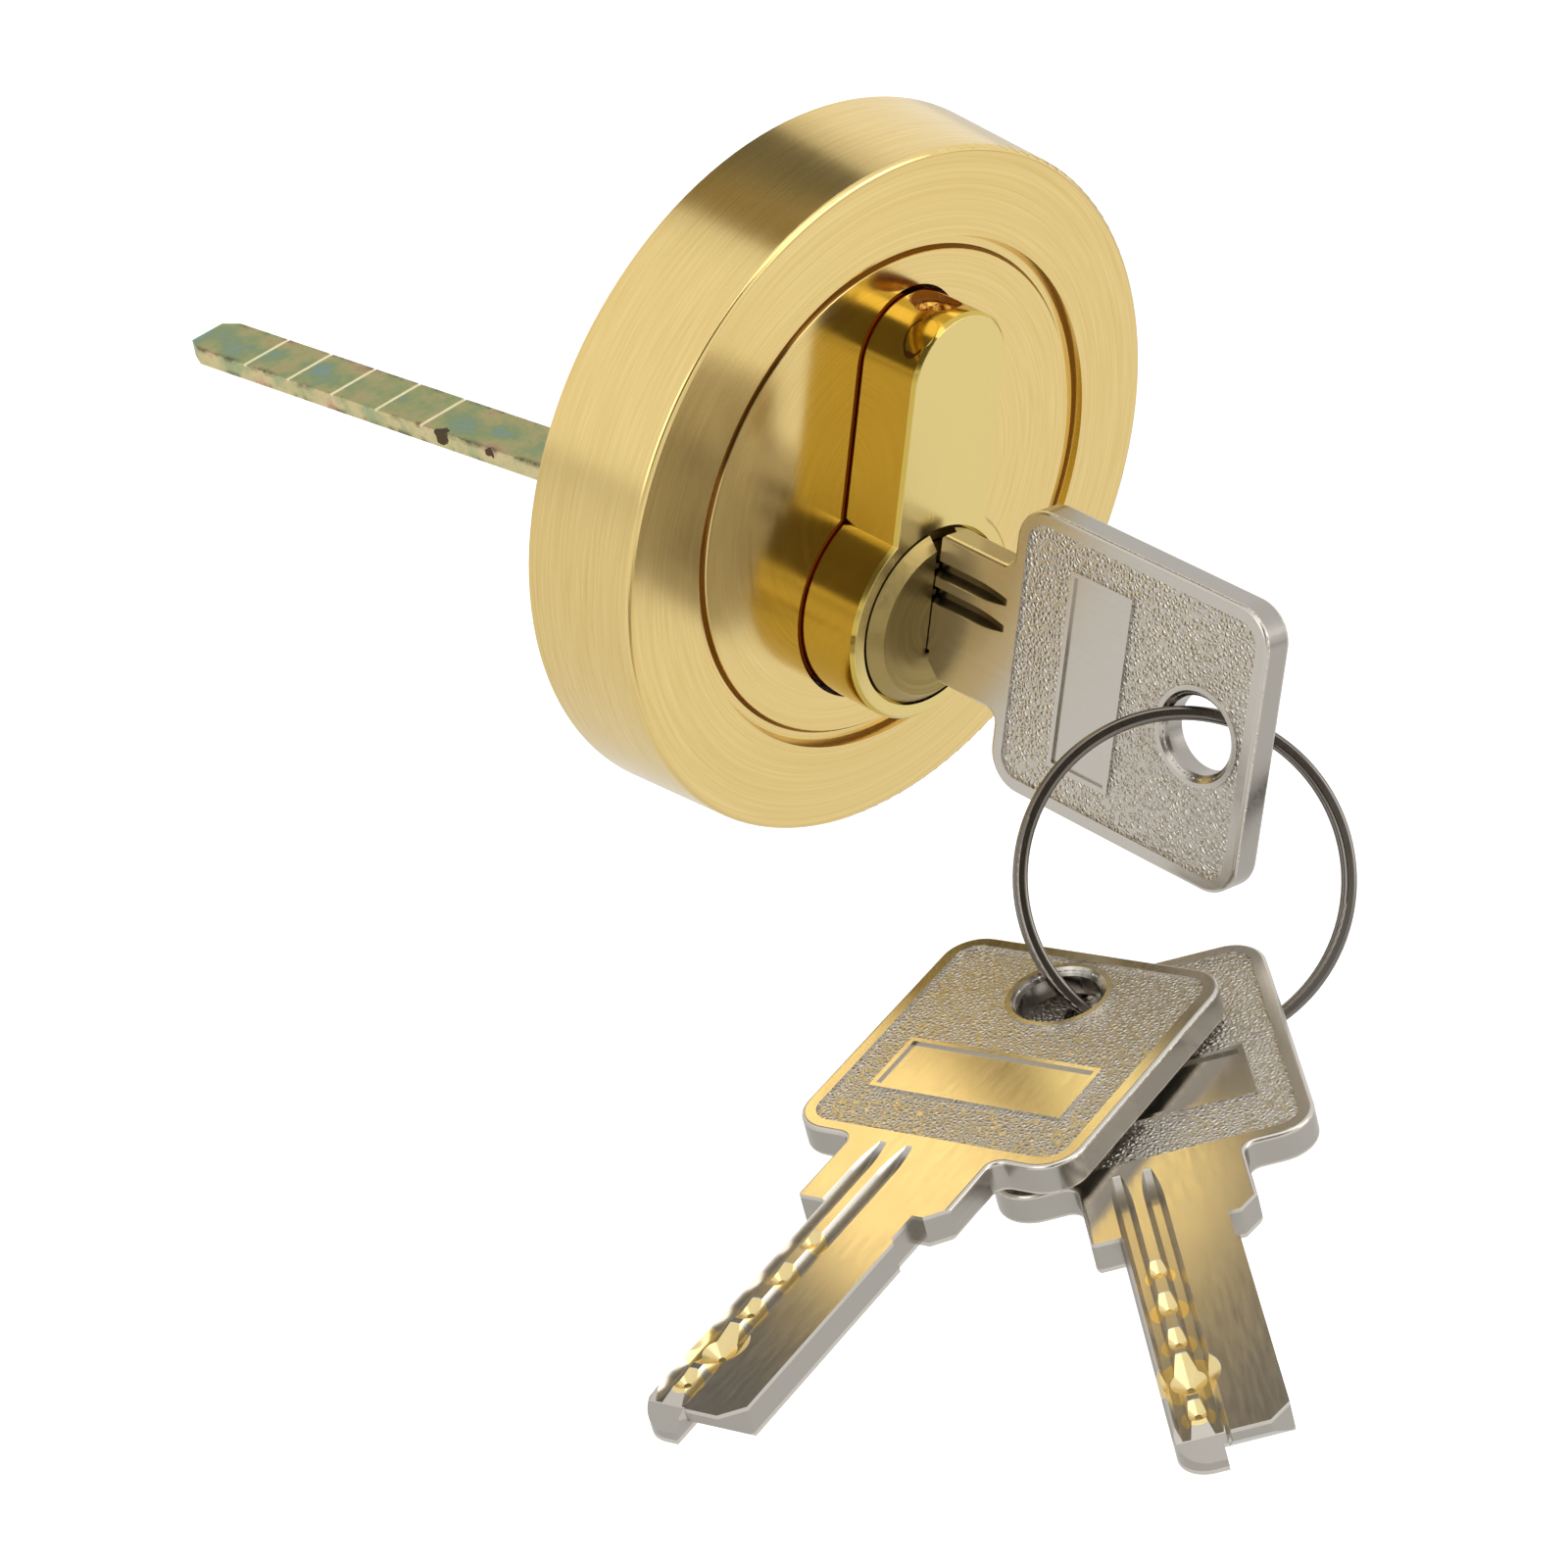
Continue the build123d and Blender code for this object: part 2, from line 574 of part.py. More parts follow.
        # the two grooves, narrower at the bottom, which run out to a point in the arc of the cutter
        run_out = math.sqrt(MILL_CUTTER**2 - (MILL_CUTTER - MILL_D) ** 2)
        cutter_x = -MILL_END - run_out
        for groove_y, groove_w in MILLED:
            cutter_at = where.from_local_coords((cutter_x, 0, 0))
            with BuildSketch(Plane(origin=cutter_at, x_dir=where.y_dir, z_dir=where.x_dir)) as groove:
                with BuildLine():
                    Polyline(
                        (groove_y - MILL_FLOOR / 2, KEY_T / 2 - MILL_D),
                        (groove_y + MILL_FLOOR / 2, KEY_T / 2 - MILL_D),
                        (groove_y + groove_w / 2, KEY_T / 2),
                        (groove_y + groove_w / 2, KEY_T / 2 + 0.1),
                        (groove_y - groove_w / 2, KEY_T / 2 + 0.1),
                        (groove_y - groove_w / 2, KEY_T / 2),
                        close=True,
                    )
                make_face()
            extrude(groove.sketch, amount=SHOULDER + BLADE_L + 1 + cutter_x, dir=-where.x_dir, mode=Mode.SUBTRACT)
            cutter_mid = where.from_local_coords((cutter_x, 0, KEY_T / 2 - MILL_D + MILL_CUTTER))
            revolve(groove.sketch, axis=Axis(cutter_mid, where.y_dir), mode=Mode.SUBTRACT)
        # the bevel along the blade's upper edge
        with BuildSketch(Plane(origin=where.origin - where.x_dir * SHOULDER, x_dir=where.y_dir, z_dir=where.x_dir)):
            with BuildLine():
                Polyline(
                    (BLADE_W / 2 - BEVEL[0], KEY_T / 2 + 0.01),
                    (BLADE_W / 2 + 0.01, KEY_T / 2 + 0.01),
                    (BLADE_W / 2 + 0.01, KEY_T / 2 - BEVEL[1]),
                    close=True,
                )
            make_face()
        extrude(amount=-BLADE_L - 1, mode=Mode.SUBTRACT)
        # the five cuts, each the cone of a drill
        for number, radius in enumerate(CUT_R):
            cut_x = -SHOULDER - KEY_GAP - FIRST_PIN - number * PIN_PITCH
            with BuildSketch(across.offset(-CUT_Y)):
                with BuildLine():
                    Polyline(
                        (cut_x, KEY_T / 2 + 0.01),
                        (cut_x + radius, KEY_T / 2 + 0.01),
                        (cut_x + CUT_FLAT, KEY_T / 2 - CUT_SLOPE * (radius - CUT_FLAT)),
                        (cut_x, KEY_T / 2 - CUT_SLOPE * (radius - CUT_FLAT)),
                        close=True,
                    )
                make_face()
            cut_at = where.from_local_coords((cut_x, CUT_Y, 0))
            revolve(axis=Axis(cut_at, where.z_dir), mode=Mode.SUBTRACT)
    return key.part


INSERTED = Plane(
    origin=(0, FRONT_Y - KEY_GAP - SHOULDER, KEY_RISE),
    x_dir=(0, -1, 0),
    z_dir=(-1, 0, 0),
)
save(make_key(INSERTED), "inserted_key")
save(make_key(Plane(Location(UPPER_AT, UPPER_TURN))), "loose_key_upper")
save(make_key(Plane(Location(LOWER_AT, LOWER_TURN))), "loose_key_lower")

# Split ring: a flat spring-steel strand wound in two turns that lie side by side, with one short
# crossing from the first turn to the second between its two ends
RING_PLANE = Plane(origin=RING_AT, x_dir=RING_SIDE, z_dir=RING_AXIS)
turn_arc = 360 - RING_CROSSING - RING_END_GAP
with BuildPart() as split_ring:
    with BuildLine(RING_PLANE) as strand:
        first = CenterArc((0, 0, -RING_PITCH / 2), RING_R, RING_SPLIT + RING_END_GAP, turn_arc)
        second = CenterArc((0, 0, RING_PITCH / 2), RING_R, RING_SPLIT, turn_arc)
        Spline(first @ 1, second @ 0, tangents=(first % 1, second % 0))
    with BuildSketch(Plane(origin=first @ 0, x_dir=RING_PLANE.z_dir, z_dir=first % 0)):
        RectangleRounded(STRAND[1], STRAND[0], STRAND_EDGE)
    sweep()
save(split_ring.part, "split_ring")
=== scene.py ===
import math

import bpy
from mathutils import Euler, Matrix, Vector


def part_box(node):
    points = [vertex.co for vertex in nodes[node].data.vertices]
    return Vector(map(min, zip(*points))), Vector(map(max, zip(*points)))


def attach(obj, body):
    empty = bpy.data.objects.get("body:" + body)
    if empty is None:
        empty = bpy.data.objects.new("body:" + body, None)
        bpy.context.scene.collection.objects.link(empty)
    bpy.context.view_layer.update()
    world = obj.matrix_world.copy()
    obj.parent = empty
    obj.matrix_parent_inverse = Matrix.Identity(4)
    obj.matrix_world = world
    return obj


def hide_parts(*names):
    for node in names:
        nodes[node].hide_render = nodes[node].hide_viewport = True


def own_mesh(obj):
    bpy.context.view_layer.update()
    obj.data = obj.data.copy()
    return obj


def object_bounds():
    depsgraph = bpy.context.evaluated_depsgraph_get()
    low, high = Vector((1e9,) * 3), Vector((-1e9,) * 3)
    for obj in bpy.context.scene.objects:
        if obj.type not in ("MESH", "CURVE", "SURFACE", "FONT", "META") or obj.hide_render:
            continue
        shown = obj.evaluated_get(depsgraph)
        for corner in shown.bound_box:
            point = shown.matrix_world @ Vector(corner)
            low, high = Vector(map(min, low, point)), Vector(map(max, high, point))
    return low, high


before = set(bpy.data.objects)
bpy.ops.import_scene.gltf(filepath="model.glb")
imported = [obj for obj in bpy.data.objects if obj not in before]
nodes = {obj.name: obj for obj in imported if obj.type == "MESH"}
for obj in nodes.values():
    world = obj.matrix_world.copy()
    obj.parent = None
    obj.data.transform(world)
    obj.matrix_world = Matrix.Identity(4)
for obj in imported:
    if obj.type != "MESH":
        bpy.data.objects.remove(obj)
cad_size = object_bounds()


# Rose. A turned brass shell, 56 mm across and about 10 mm deep, brushed on the lathe so that fine
# scratches run round its wall and its face, then lacquered. A clip holds it on the carrier.
def linear(code):
    """The linear colour of an sRGB hex code."""
    parts = [int(code[i : i + 2], 16) / 255 for i in (1, 3, 5)]
    return (*[c / 12.92 if c <= 0.04045 else ((c + 0.055) / 1.055) ** 2.4 for c in parts], 1)


def add(tree, kind, inputs=(), **settings):
    """A node of that kind with its settings, and values or links on its inputs."""
    new = tree.nodes.new(kind)
    for name, value in settings.items():
        setattr(new, name, value)
    for name, value in dict(inputs).items():
        if isinstance(value, bpy.types.NodeSocket):
            tree.links.new(value, new.inputs[name])
        else:
            new.inputs[name].default_value = value
    return new


def material(name):
    """A new material: its tree, and the shader of a metal."""
    made = bpy.data.materials.new(name)
    made.use_nodes = True
    shader = made.node_tree.nodes["Principled BSDF"]
    shader.inputs["Metallic"].default_value = 1
    return made, made.node_tree, shader


def finish(coat, *pieces):
    """Gives the pieces that one material."""
    for piece in pieces:
        for one in piece.material_slots:
            one.link = "OBJECT"
            one.material = coat


ROSE_CENTRE = Vector((0, 0, 0.008))
BELOW_FACE_Y = -0.00965  # just behind the face, which is 9.7 mm in front of the door
CUT_OUT_HALF = (0.009, 0.017)  # half the cut-out's width and height, with a little room
GROOVE_WALL = (0.01945, 0.00017)  # middle radius of the groove's inner wall, and half its width
GROOVE_DEPTH = (-0.0093, 0.00034)  # the groove's floor, and how far from it the painted shade reaches
STRAY = 0.03  # how fast the pattern changes along a scratch, against across it
satin_brass, tree, shader = material("satin_brass_turned")
place = add(tree, "ShaderNodeTexCoord").outputs["Object"]
centred = add(tree, "ShaderNodeMapping", {"Vector": place, "Location": -ROSE_CENTRE})
across = add(tree, "ShaderNodeVectorMath", {0: centred.outputs[0], 1: (1, 0, 1)}, operation="MULTIPLY")
radius = add(tree, "ShaderNodeVectorMath", {0: across.outputs[0]}, operation="LENGTH")
depth = add(tree, "ShaderNodeSeparateXYZ", {"Vector": centred.outputs[0]})
lathe = add(tree, "ShaderNodeCombineXYZ", {"X": radius.outputs["Value"], "Y": depth.outputs["Y"]})
# the scratches are about 0.2 mm apart, and none runs all the way round
strayed = add(tree, "ShaderNodeVectorMath", {0: centred.outputs[0], 1: [STRAY] * 3}, operation="MULTIPLY")
scratch_at = add(
    tree, "ShaderNodeVectorMath", {0: lathe.outputs[0], 1: strayed.outputs[0]}, operation="ADD"
)
scratches = add(tree, "ShaderNodeTexNoise", {"Vector": scratch_at.outputs[0], "Scale": 5200, "Detail": 3})
bands = add(tree, "ShaderNodeTexNoise", {"Vector": scratch_at.outputs[0], "Scale": 700, "Detail": 2})
# lathe marks a little lighter and darker, as the eye sees them
tone = add(
    tree,
    "ShaderNodeMix",
    {"Factor": scratches.outputs["Fac"], "A": linear("#D8B86E"), "B": linear("#F3DB9B")},
    data_type="RGBA",
)
gloss = add(tree, "ShaderNodeMapRange", {"Value": bands.outputs["Fac"], "To Min": 0.13, "To Max": 0.2})
relief = add(
    tree, "ShaderNodeBump", {"Height": scratches.outputs["Fac"], "Strength": 0.06, "Distance": 0.00002}
)
# the light spreads across the scratches, so the highlights are long wedges
along = add(tree, "ShaderNodeVectorMath", {0: across.outputs[0], 1: (0, 1, 0)}, operation="CROSS_PRODUCT")
along_world = add(
    tree,
    "ShaderNodeVectorTransform",
    {"Vector": along.outputs[0]},
    convert_from="OBJECT",
    convert_to="WORLD",
)
# painted red-brown shade and reflection on the wall of the cut-out, just under the face, where the gap
# round the cylinder is
inner = add(tree, "ShaderNodeVectorMath", {0: centred.outputs[0]}, operation="ABSOLUTE")
side = add(tree, "ShaderNodeSeparateXYZ", {"Vector": inner.outputs[0]})
narrow = add(tree, "ShaderNodeMath", {0: side.outputs["X"], 1: CUT_OUT_HALF[0]}, operation="LESS_THAN")
short = add(tree, "ShaderNodeMath", {0: side.outputs["Z"], 1: CUT_OUT_HALF[1]}, operation="LESS_THAN")
under = add(tree, "ShaderNodeMath", {0: depth.outputs["Y"], 1: BELOW_FACE_Y}, operation="GREATER_THAN")
both = add(tree, "ShaderNodeMath", {0: narrow.outputs[0], 1: short.outputs[0]}, operation="MULTIPLY")
gap_shade = add(tree, "ShaderNodeMath", {0: both.outputs[0], 1: under.outputs[0]}, operation="MULTIPLY")
bare = add(tree, "ShaderNodeMath", {0: 1.0, 1: gap_shade.outputs[0]}, operation="SUBTRACT")
# and painted shade darkens the groove's inner wall near its floor
wall_r, wall_half = GROOVE_WALL
on_wall = add(
    tree, "ShaderNodeMath", {0: radius.outputs["Value"], 1: wall_r, 2: wall_half}, operation="COMPARE"
)
floor_y, reach = GROOVE_DEPTH
low_in = add(tree, "ShaderNodeMath", {0: depth.outputs["Y"], 1: floor_y, 2: reach}, operation="COMPARE")
wall_shade_mask = add(tree, "ShaderNodeMath", {0: on_wall.outputs[0], 1: low_in.outputs[0]}, operation="MULTIPLY")
wall_shaded = add(
    tree,
    "ShaderNodeMix",
    {"Factor": wall_shade_mask.outputs[0], "A": tone.outputs["Result"], "B": linear("#7A5628")},
    data_type="RGBA",
)
# the painted red-brown of the gap goes over the brass colour there
colour = add(
    tree,
    "ShaderNodeMix",
    {"Factor": gap_shade.outputs[0], "A": wall_shaded.outputs["Result"], "B": linear("#9A3A0C")},
    data_type="RGBA",
)
tree.links.new(colour.outputs["Result"], shader.inputs["Base Color"])
tree.links.new(bare.outputs[0], shader.inputs["Metallic"])
tree.links.new(gloss.outputs[0], shader.inputs["Roughness"])
tree.links.new(relief.outputs[0], shader.inputs["Normal"])
tree.links.new(along_world.outputs[0], shader.inputs["Tangent"])
shader.inputs["Anisotropic"].default_value = 0.6
finish(satin_brass, nodes["rose"])

# Carrier. A die-cast zinc disc inside the rose, dull grey from its casting skin. It holds the
# cylinder, and two bolts from the door's inner side are screwed into its tapped holes.
zinc, tree, shader = material("zinc_die_cast")
place = add(tree, "ShaderNodeTexCoord").outputs["Object"]
skin = add(tree, "ShaderNodeTexNoise", {"Vector": place, "Scale": 900, "Detail": 4})
shade = add(
    tree,
    "ShaderNodeMix",
    {"Factor": skin.outputs["Fac"], "A": linear("#85868A"), "B": linear("#A3A4A6")},
    data_type="RGBA",
)
relief = add(tree, "ShaderNodeBump", {"Height": skin.outputs["Fac"], "Strength": 0.2, "Distance": 0.00005})
tree.links.new(shade.outputs["Result"], shader.inputs["Base Color"])
tree.links.new(relief.outputs[0], shader.inputs["Normal"])
shader.inputs["Roughness"].default_value = 0.5
finish(zinc, nodes["carrier"])


# Rose clip and the cap's lock pin. Hard steel wire, drawn bright. The clip lies half in a groove of
# the carrier and half in one of the rose, and holds them together; the pin stops the tail cap.
def marked_metal(name, code, marks, detail, dullness):
    """A metal of one colour whose fine marks, so many to the metre, vary its roughness."""
    made, tree, shader = material(name)
    place = add(tree, "ShaderNodeTexCoord").outputs["Object"]
    wear = add(tree, "ShaderNodeTexNoise", {"Vector": place, "Scale": marks, "Detail": detail})
    least, most = dullness
    gloss = add(tree, "ShaderNodeMapRange", {"Value": wear.outputs["Fac"], "To Min": least, "To Max": most})
    tree.links.new(gloss.outputs[0], shader.inputs["Roughness"])
    shader.inputs["Base Color"].default_value = linear(code)
    return made


steel = marked_metal("steel_wire_drawn", "#B4B5B8", 1500, 2, (0.2, 0.35))
finish(steel, nodes["rose_clip"], nodes["cap_lock_pin"])

# Grub screw. Hardened steel, blackened and oiled, so it is nearly black with a dull sheen. It goes
# through the carrier's side, and its cone point locks the cylinder's fin.
blackened = marked_metal("steel_blackened", "#3A3A3D", 1200, 3, (0.3, 0.5))
finish(blackened, nodes["cylinder_grub_screw"])

# Cylinder. A drawn brass profile bar: its flanks are polished along their length, and its front
# end, 15.2 mm in front of the door's face, is ground with upright scratches.
FRONT_Y = -0.0152
GAP_SHADE_BAND = (-0.0082, 0.00145)  # middle of the band below the rose's face, in the gap, that has painted shade, and half its width
FRONT_CHAMBER = (0, -0.012, 0)
MOUTH_R = 0.0017  # the least radius of the brown in the chamber's mouth
MOUTH_LOW_Z = 0.021
ALONG_BAR = (1, 0.04, 1)
UPRIGHT = (1, 0, 0.03)
polished_brass, tree, shader = material("brass_polished_drawn")
place = add(tree, "ShaderNodeTexCoord").outputs["Object"]
spot = add(tree, "ShaderNodeSeparateXYZ", {"Vector": place})
at_front = add(tree, "ShaderNodeMath", {0: spot.outputs["Y"], 1: FRONT_Y + 0.00004}, operation="LESS_THAN")
# fine strokes about 0.2 mm apart: along the flanks, and upright on the front
flank = add(tree, "ShaderNodeVectorMath", {0: place, 1: ALONG_BAR}, operation="MULTIPLY")
front = add(tree, "ShaderNodeVectorMath", {0: place, 1: UPRIGHT}, operation="MULTIPLY")
stroke_at = add(
    tree,
    "ShaderNodeMix",
    {"Factor": at_front.outputs[0], "A": flank.outputs[0], "B": front.outputs[0]},
    data_type="VECTOR",
)
strokes = add(
    tree, "ShaderNodeTexNoise", {"Vector": stroke_at.outputs["Result"], "Scale": 4500, "Detail": 3}
)
# polish on the flanks, satin on the front
least = add(tree, "ShaderNodeMapRange", {"Value": at_front.outputs[0], "To Min": 0.06, "To Max": 0.22})
gloss = add(
    tree,
    "ShaderNodeMath",
    {0: strokes.outputs["Fac"], 1: 0.08, 2: least.outputs[0]},
    operation="MULTIPLY_ADD",
)
bite = add(tree, "ShaderNodeMapRange", {"Value": at_front.outputs[0], "To Min": 0.03, "To Max": 0.14})
relief = add(
    tree,
    "ShaderNodeBump",
    {"Height": strokes.outputs["Fac"], "Strength": bite.outputs[0], "Distance": 0.00002},
)
tone = add(
    tree,
    "ShaderNodeMix",
    {"Factor": at_front.outputs[0], "A": linear("#CBB156"), "B": linear("#E2CC86")},
    data_type="RGBA",
)
# painted red-brown shade and reflection on the band below the rose's face, in the gap; and in the mouth of
# the front chamber a brown that is partly stain and partly painted shade of the hollow
band_y, band_half = GAP_SHADE_BAND
under = add(tree, "ShaderNodeMath", {0: spot.outputs["Y"], 1: band_y, 2: band_half}, operation="COMPARE")
from_mouth = add(tree, "ShaderNodeVectorMath", {0: place, 1: FRONT_CHAMBER}, operation="SUBTRACT")
level = add(tree, "ShaderNodeVectorMath", {0: from_mouth.outputs[0], 1: (1, 1, 0)}, operation="MULTIPLY")
away = add(tree, "ShaderNodeVectorMath", {0: level.outputs[0]}, operation="LENGTH")
ragged = add(tree, "ShaderNodeTexNoise", {"Vector": place, "Scale": 1300, "Detail": 2})
edge_r = add(
    tree, "ShaderNodeMath", {0: ragged.outputs["Fac"], 1: 0.0006, 2: MOUTH_R}, operation="MULTIPLY_ADD"
)
in_mouth = add(
    tree, "ShaderNodeMath", {0: away.outputs["Value"], 1: edge_r.outputs[0]}, operation="LESS_THAN"
)
high = add(tree, "ShaderNodeMath", {0: spot.outputs["Z"], 1: MOUTH_LOW_Z}, operation="GREATER_THAN")
mouth = add(tree, "ShaderNodeMath", {0: in_mouth.outputs[0], 1: high.outputs[0]}, operation="MULTIPLY")
brown = add(tree, "ShaderNodeMath", {0: under.outputs[0], 1: mouth.outputs[0]}, operation="MAXIMUM")
bare = add(tree, "ShaderNodeMath", {0: 1.0, 1: brown.outputs[0]}, operation="SUBTRACT")
# the gap band's painted red-brown, and the mouth's brown of stain and painted shade
stain_and_shade = add(
    tree,
    "ShaderNodeMix",
    {"Factor": mouth.outputs[0], "A": linear("#A2500A"), "B": linear("#8E5518")},
    data_type="RGBA",
)
colour = add(
    tree,
    "ShaderNodeMix",
    {"Factor": brown.outputs[0], "A": tone.outputs["Result"], "B": stain_and_shade.outputs["Result"]},
    data_type="RGBA",
)
tree.links.new(colour.outputs["Result"], shader.inputs["Base Color"])
tree.links.new(bare.outputs[0], shader.inputs["Metallic"])
tree.links.new(gloss.outputs[0], shader.inputs["Roughness"])
tree.links.new(relief.outputs[0], shader.inputs["Normal"])
finish(polished_brass, nodes["cylinder_body"])

# Chamber plugs. Five brass slugs pressed into the pin chambers from the fin's top. The punch left
# their ends dished and scarred about every millimetre, and they are stained brown in smaller spots.
raw_brass, tree, shader = material("brass_punched")
place = add(tree, "ShaderNodeTexCoord").outputs["Object"]
scars = add(tree, "ShaderNodeTexNoise", {"Vector": place, "Scale": 900, "Detail": 4})
gloss = add(tree, "ShaderNodeMapRange", {"Value": scars.outputs["Fac"], "To Min": 0.2, "To Max": 0.45})
relief = add(tree, "ShaderNodeBump", {"Height": scars.outputs["Fac"], "Strength": 1, "Distance": 0.0006})
blots = add(tree, "ShaderNodeTexNoise", {"Vector": place, "Scale": 1700, "Detail": 3})
spots = add(tree, "ShaderNodeMapRange", {"Value": blots.outputs["Fac"], "From Min": 0.38, "From Max": 0.62})
tone = add(
    tree,
    "ShaderNodeMix",
    {"Factor": spots.outputs[0], "A": linear("#8A5216"), "B": linear("#E8B454")},
    data_type="RGBA",
)
tree.links.new(tone.outputs["Result"], shader.inputs["Base Color"])
tree.links.new(gloss.outputs[0], shader.inputs["Roughness"])
tree.links.new(relief.outputs[0], shader.inputs["Normal"])
finish(raw_brass, nodes["chamber_plugs"])

# Driver pins. Hardened steel, ground all over. One stands on each key pin and is pushed down by its
# spring.
pin_steel = marked_metal("steel_ground", "#BDBBB4", 2500, 2, (0.22, 0.34))
finish(pin_steel, *[nodes[f"driver_pin_{i}"] for i in range(1, 6)])

# Guard pins. Two hardened pins against drilling, pressed into the fin from its top, ground flush
# with it and plated over, so that only a dark ragged line shows where each one is.
GUARD_AT = (0.0034, 0.01385, 0)  # from the middle and from the door's face; one on each side
SEAM_R = 0.00132
plated_pin, tree, shader = material("pin_brass_plated")
place = add(tree, "ShaderNodeTexCoord").outputs["Object"]
mirrored = add(tree, "ShaderNodeVectorMath", {0: place}, operation="ABSOLUTE")
from_pin = add(tree, "ShaderNodeVectorMath", {0: mirrored.outputs[0], 1: GUARD_AT}, operation="SUBTRACT")
level = add(tree, "ShaderNodeVectorMath", {0: from_pin.outputs[0], 1: (1, 1, 0)}, operation="MULTIPLY")
away = add(tree, "ShaderNodeVectorMath", {0: level.outputs[0]}, operation="LENGTH")
ragged = add(tree, "ShaderNodeTexNoise", {"Vector": place, "Scale": 1500, "Detail": 3})
edge_r = add(
    tree, "ShaderNodeMath", {0: ragged.outputs["Fac"], 1: -0.0006, 2: SEAM_R}, operation="MULTIPLY_ADD"
)
seam = add(
    tree, "ShaderNodeMath", {0: away.outputs["Value"], 1: edge_r.outputs[0]}, operation="GREATER_THAN"
)
# the line shows on the pin's outer and rear side only, and is smeared shut on the other
outer = add(tree, "ShaderNodeVectorMath", {0: level.outputs[0], 1: (1, -1, 0)}, operation="DOT_PRODUCT")
shown = add(tree, "ShaderNodeMath", {0: outer.outputs["Value"], 1: -0.0001}, operation="GREATER_THAN")
rim = add(tree, "ShaderNodeMath", {0: seam.outputs[0], 1: shown.outputs[0]}, operation="MULTIPLY")
tone = add(
    tree,
    "ShaderNodeMix",
    {"Factor": rim.outputs[0], "A": linear("#CBB156"), "B": linear("#4A2E12")},
    data_type="RGBA",
)
gloss = add(tree, "ShaderNodeMapRange", {"Value": rim.outputs[0], "To Min": 0.1, "To Max": 0.5})
tree.links.new(tone.outputs["Result"], shader.inputs["Base Color"])
tree.links.new(gloss.outputs[0], shader.inputs["Roughness"])
finish(plated_pin, nodes["guard_pins"])

# Key pins. Turned brass with eased ends, one in each chamber of the plug, just clear above the
# key's blade.
pin_brass = marked_metal("brass_turned", "#D8B868", 2500, 2, (0.2, 0.32))
finish(pin_brass, *[nodes[f"key_pin_{i}"] for i in range(1, 6)])

# Plug. Turned brass with a greenish satin plating. Its head, 14.1 mm across, has a bevelled edge,
# and the scratches on its flat run round its axis.
HEAD_FLAT_R = 0.0061
HEAD_STRAY = 0.05  # as STRAY for the rose; these scratches are about 0.2 mm apart too
satin_plug, tree, shader = material("nickel_brass_satin")
place = add(tree, "ShaderNodeTexCoord").outputs["Object"]
across = add(tree, "ShaderNodeVectorMath", {0: place, 1: (1, 0, 1)}, operation="MULTIPLY")
radius = add(tree, "ShaderNodeVectorMath", {0: across.outputs[0]}, operation="LENGTH")
spot = add(tree, "ShaderNodeSeparateXYZ", {"Vector": place})
lathe = add(tree, "ShaderNodeCombineXYZ", {"X": radius.outputs["Value"], "Y": spot.outputs["Y"]})
strayed = add(
    tree, "ShaderNodeVectorMath", {0: across.outputs[0], 1: [HEAD_STRAY] * 3}, operation="MULTIPLY"
)
scratch_at = add(
    tree, "ShaderNodeVectorMath", {0: lathe.outputs[0], 1: strayed.outputs[0]}, operation="ADD"
)
scratches = add(tree, "ShaderNodeTexNoise", {"Vector": scratch_at.outputs[0], "Scale": 5000, "Detail": 3})
gloss = add(tree, "ShaderNodeMapRange", {"Value": scratches.outputs["Fac"], "To Min": 0.28, "To Max": 0.42})
relief = add(
    tree, "ShaderNodeBump", {"Height": scratches.outputs["Fac"], "Strength": 0.1, "Distance": 0.00002}
)
along = add(tree, "ShaderNodeVectorMath", {0: across.outputs[0], 1: (0, 1, 0)}, operation="CROSS_PRODUCT")
along_world = add(
    tree,
    "ShaderNodeVectorTransform",
    {"Vector": along.outputs[0]},
    convert_from="OBJECT",
    convert_to="WORLD",
)
tone = add(
    tree,
    "ShaderNodeMix",
    {"Factor": scratches.outputs["Fac"], "A": linear("#85703E"), "B": linear("#AC9860")},
    data_type="RGBA",
)
# the bevel round the head's flat gets a painted highlight, a lighter tone, and its plating is a little
# lumpy
on_bevel = add(
    tree, "ShaderNodeMath", {0: radius.outputs["Value"], 1: HEAD_FLAT_R}, operation="GREATER_THAN"
)
bevel_lit = add(
    tree,
    "ShaderNodeMix",
    {"Factor": on_bevel.outputs[0], "A": tone.outputs["Result"], "B": linear("#A5905A")},
    data_type="RGBA",
)
lumps = add(tree, "ShaderNodeTexNoise", {"Vector": place, "Scale": 800, "Detail": 2})
lump = add(tree, "ShaderNodeMath", {0: lumps.outputs["Fac"], 1: on_bevel.outputs[0]}, operation="MULTIPLY")
lumpy = add(
    tree,
    "ShaderNodeBump",
    {"Height": lump.outputs[0], "Normal": relief.outputs[0], "Strength": 0.35, "Distance": 0.0002},
)
tree.links.new(bevel_lit.outputs["Result"], shader.inputs["Base Color"])
tree.links.new(gloss.outputs[0], shader.inputs["Roughness"])
tree.links.new(lumpy.outputs[0], shader.inputs["Normal"])
tree.links.new(along_world.outputs[0], shader.inputs["Tangent"])
shader.inputs["Anisotropic"].default_value = 0.25
finish(satin_plug, nodes["plug"])

# Tail cap. A steel cap, zinc plated to a bluish grey. It is screwed on the plug's rear, and the tail
# bar stands out of its window.
zinc_steel = marked_metal("steel_zinc_plated", "#B9BCC2", 700, 3, (0.25, 0.42))
finish(zinc_steel, nodes["tail_cap"])

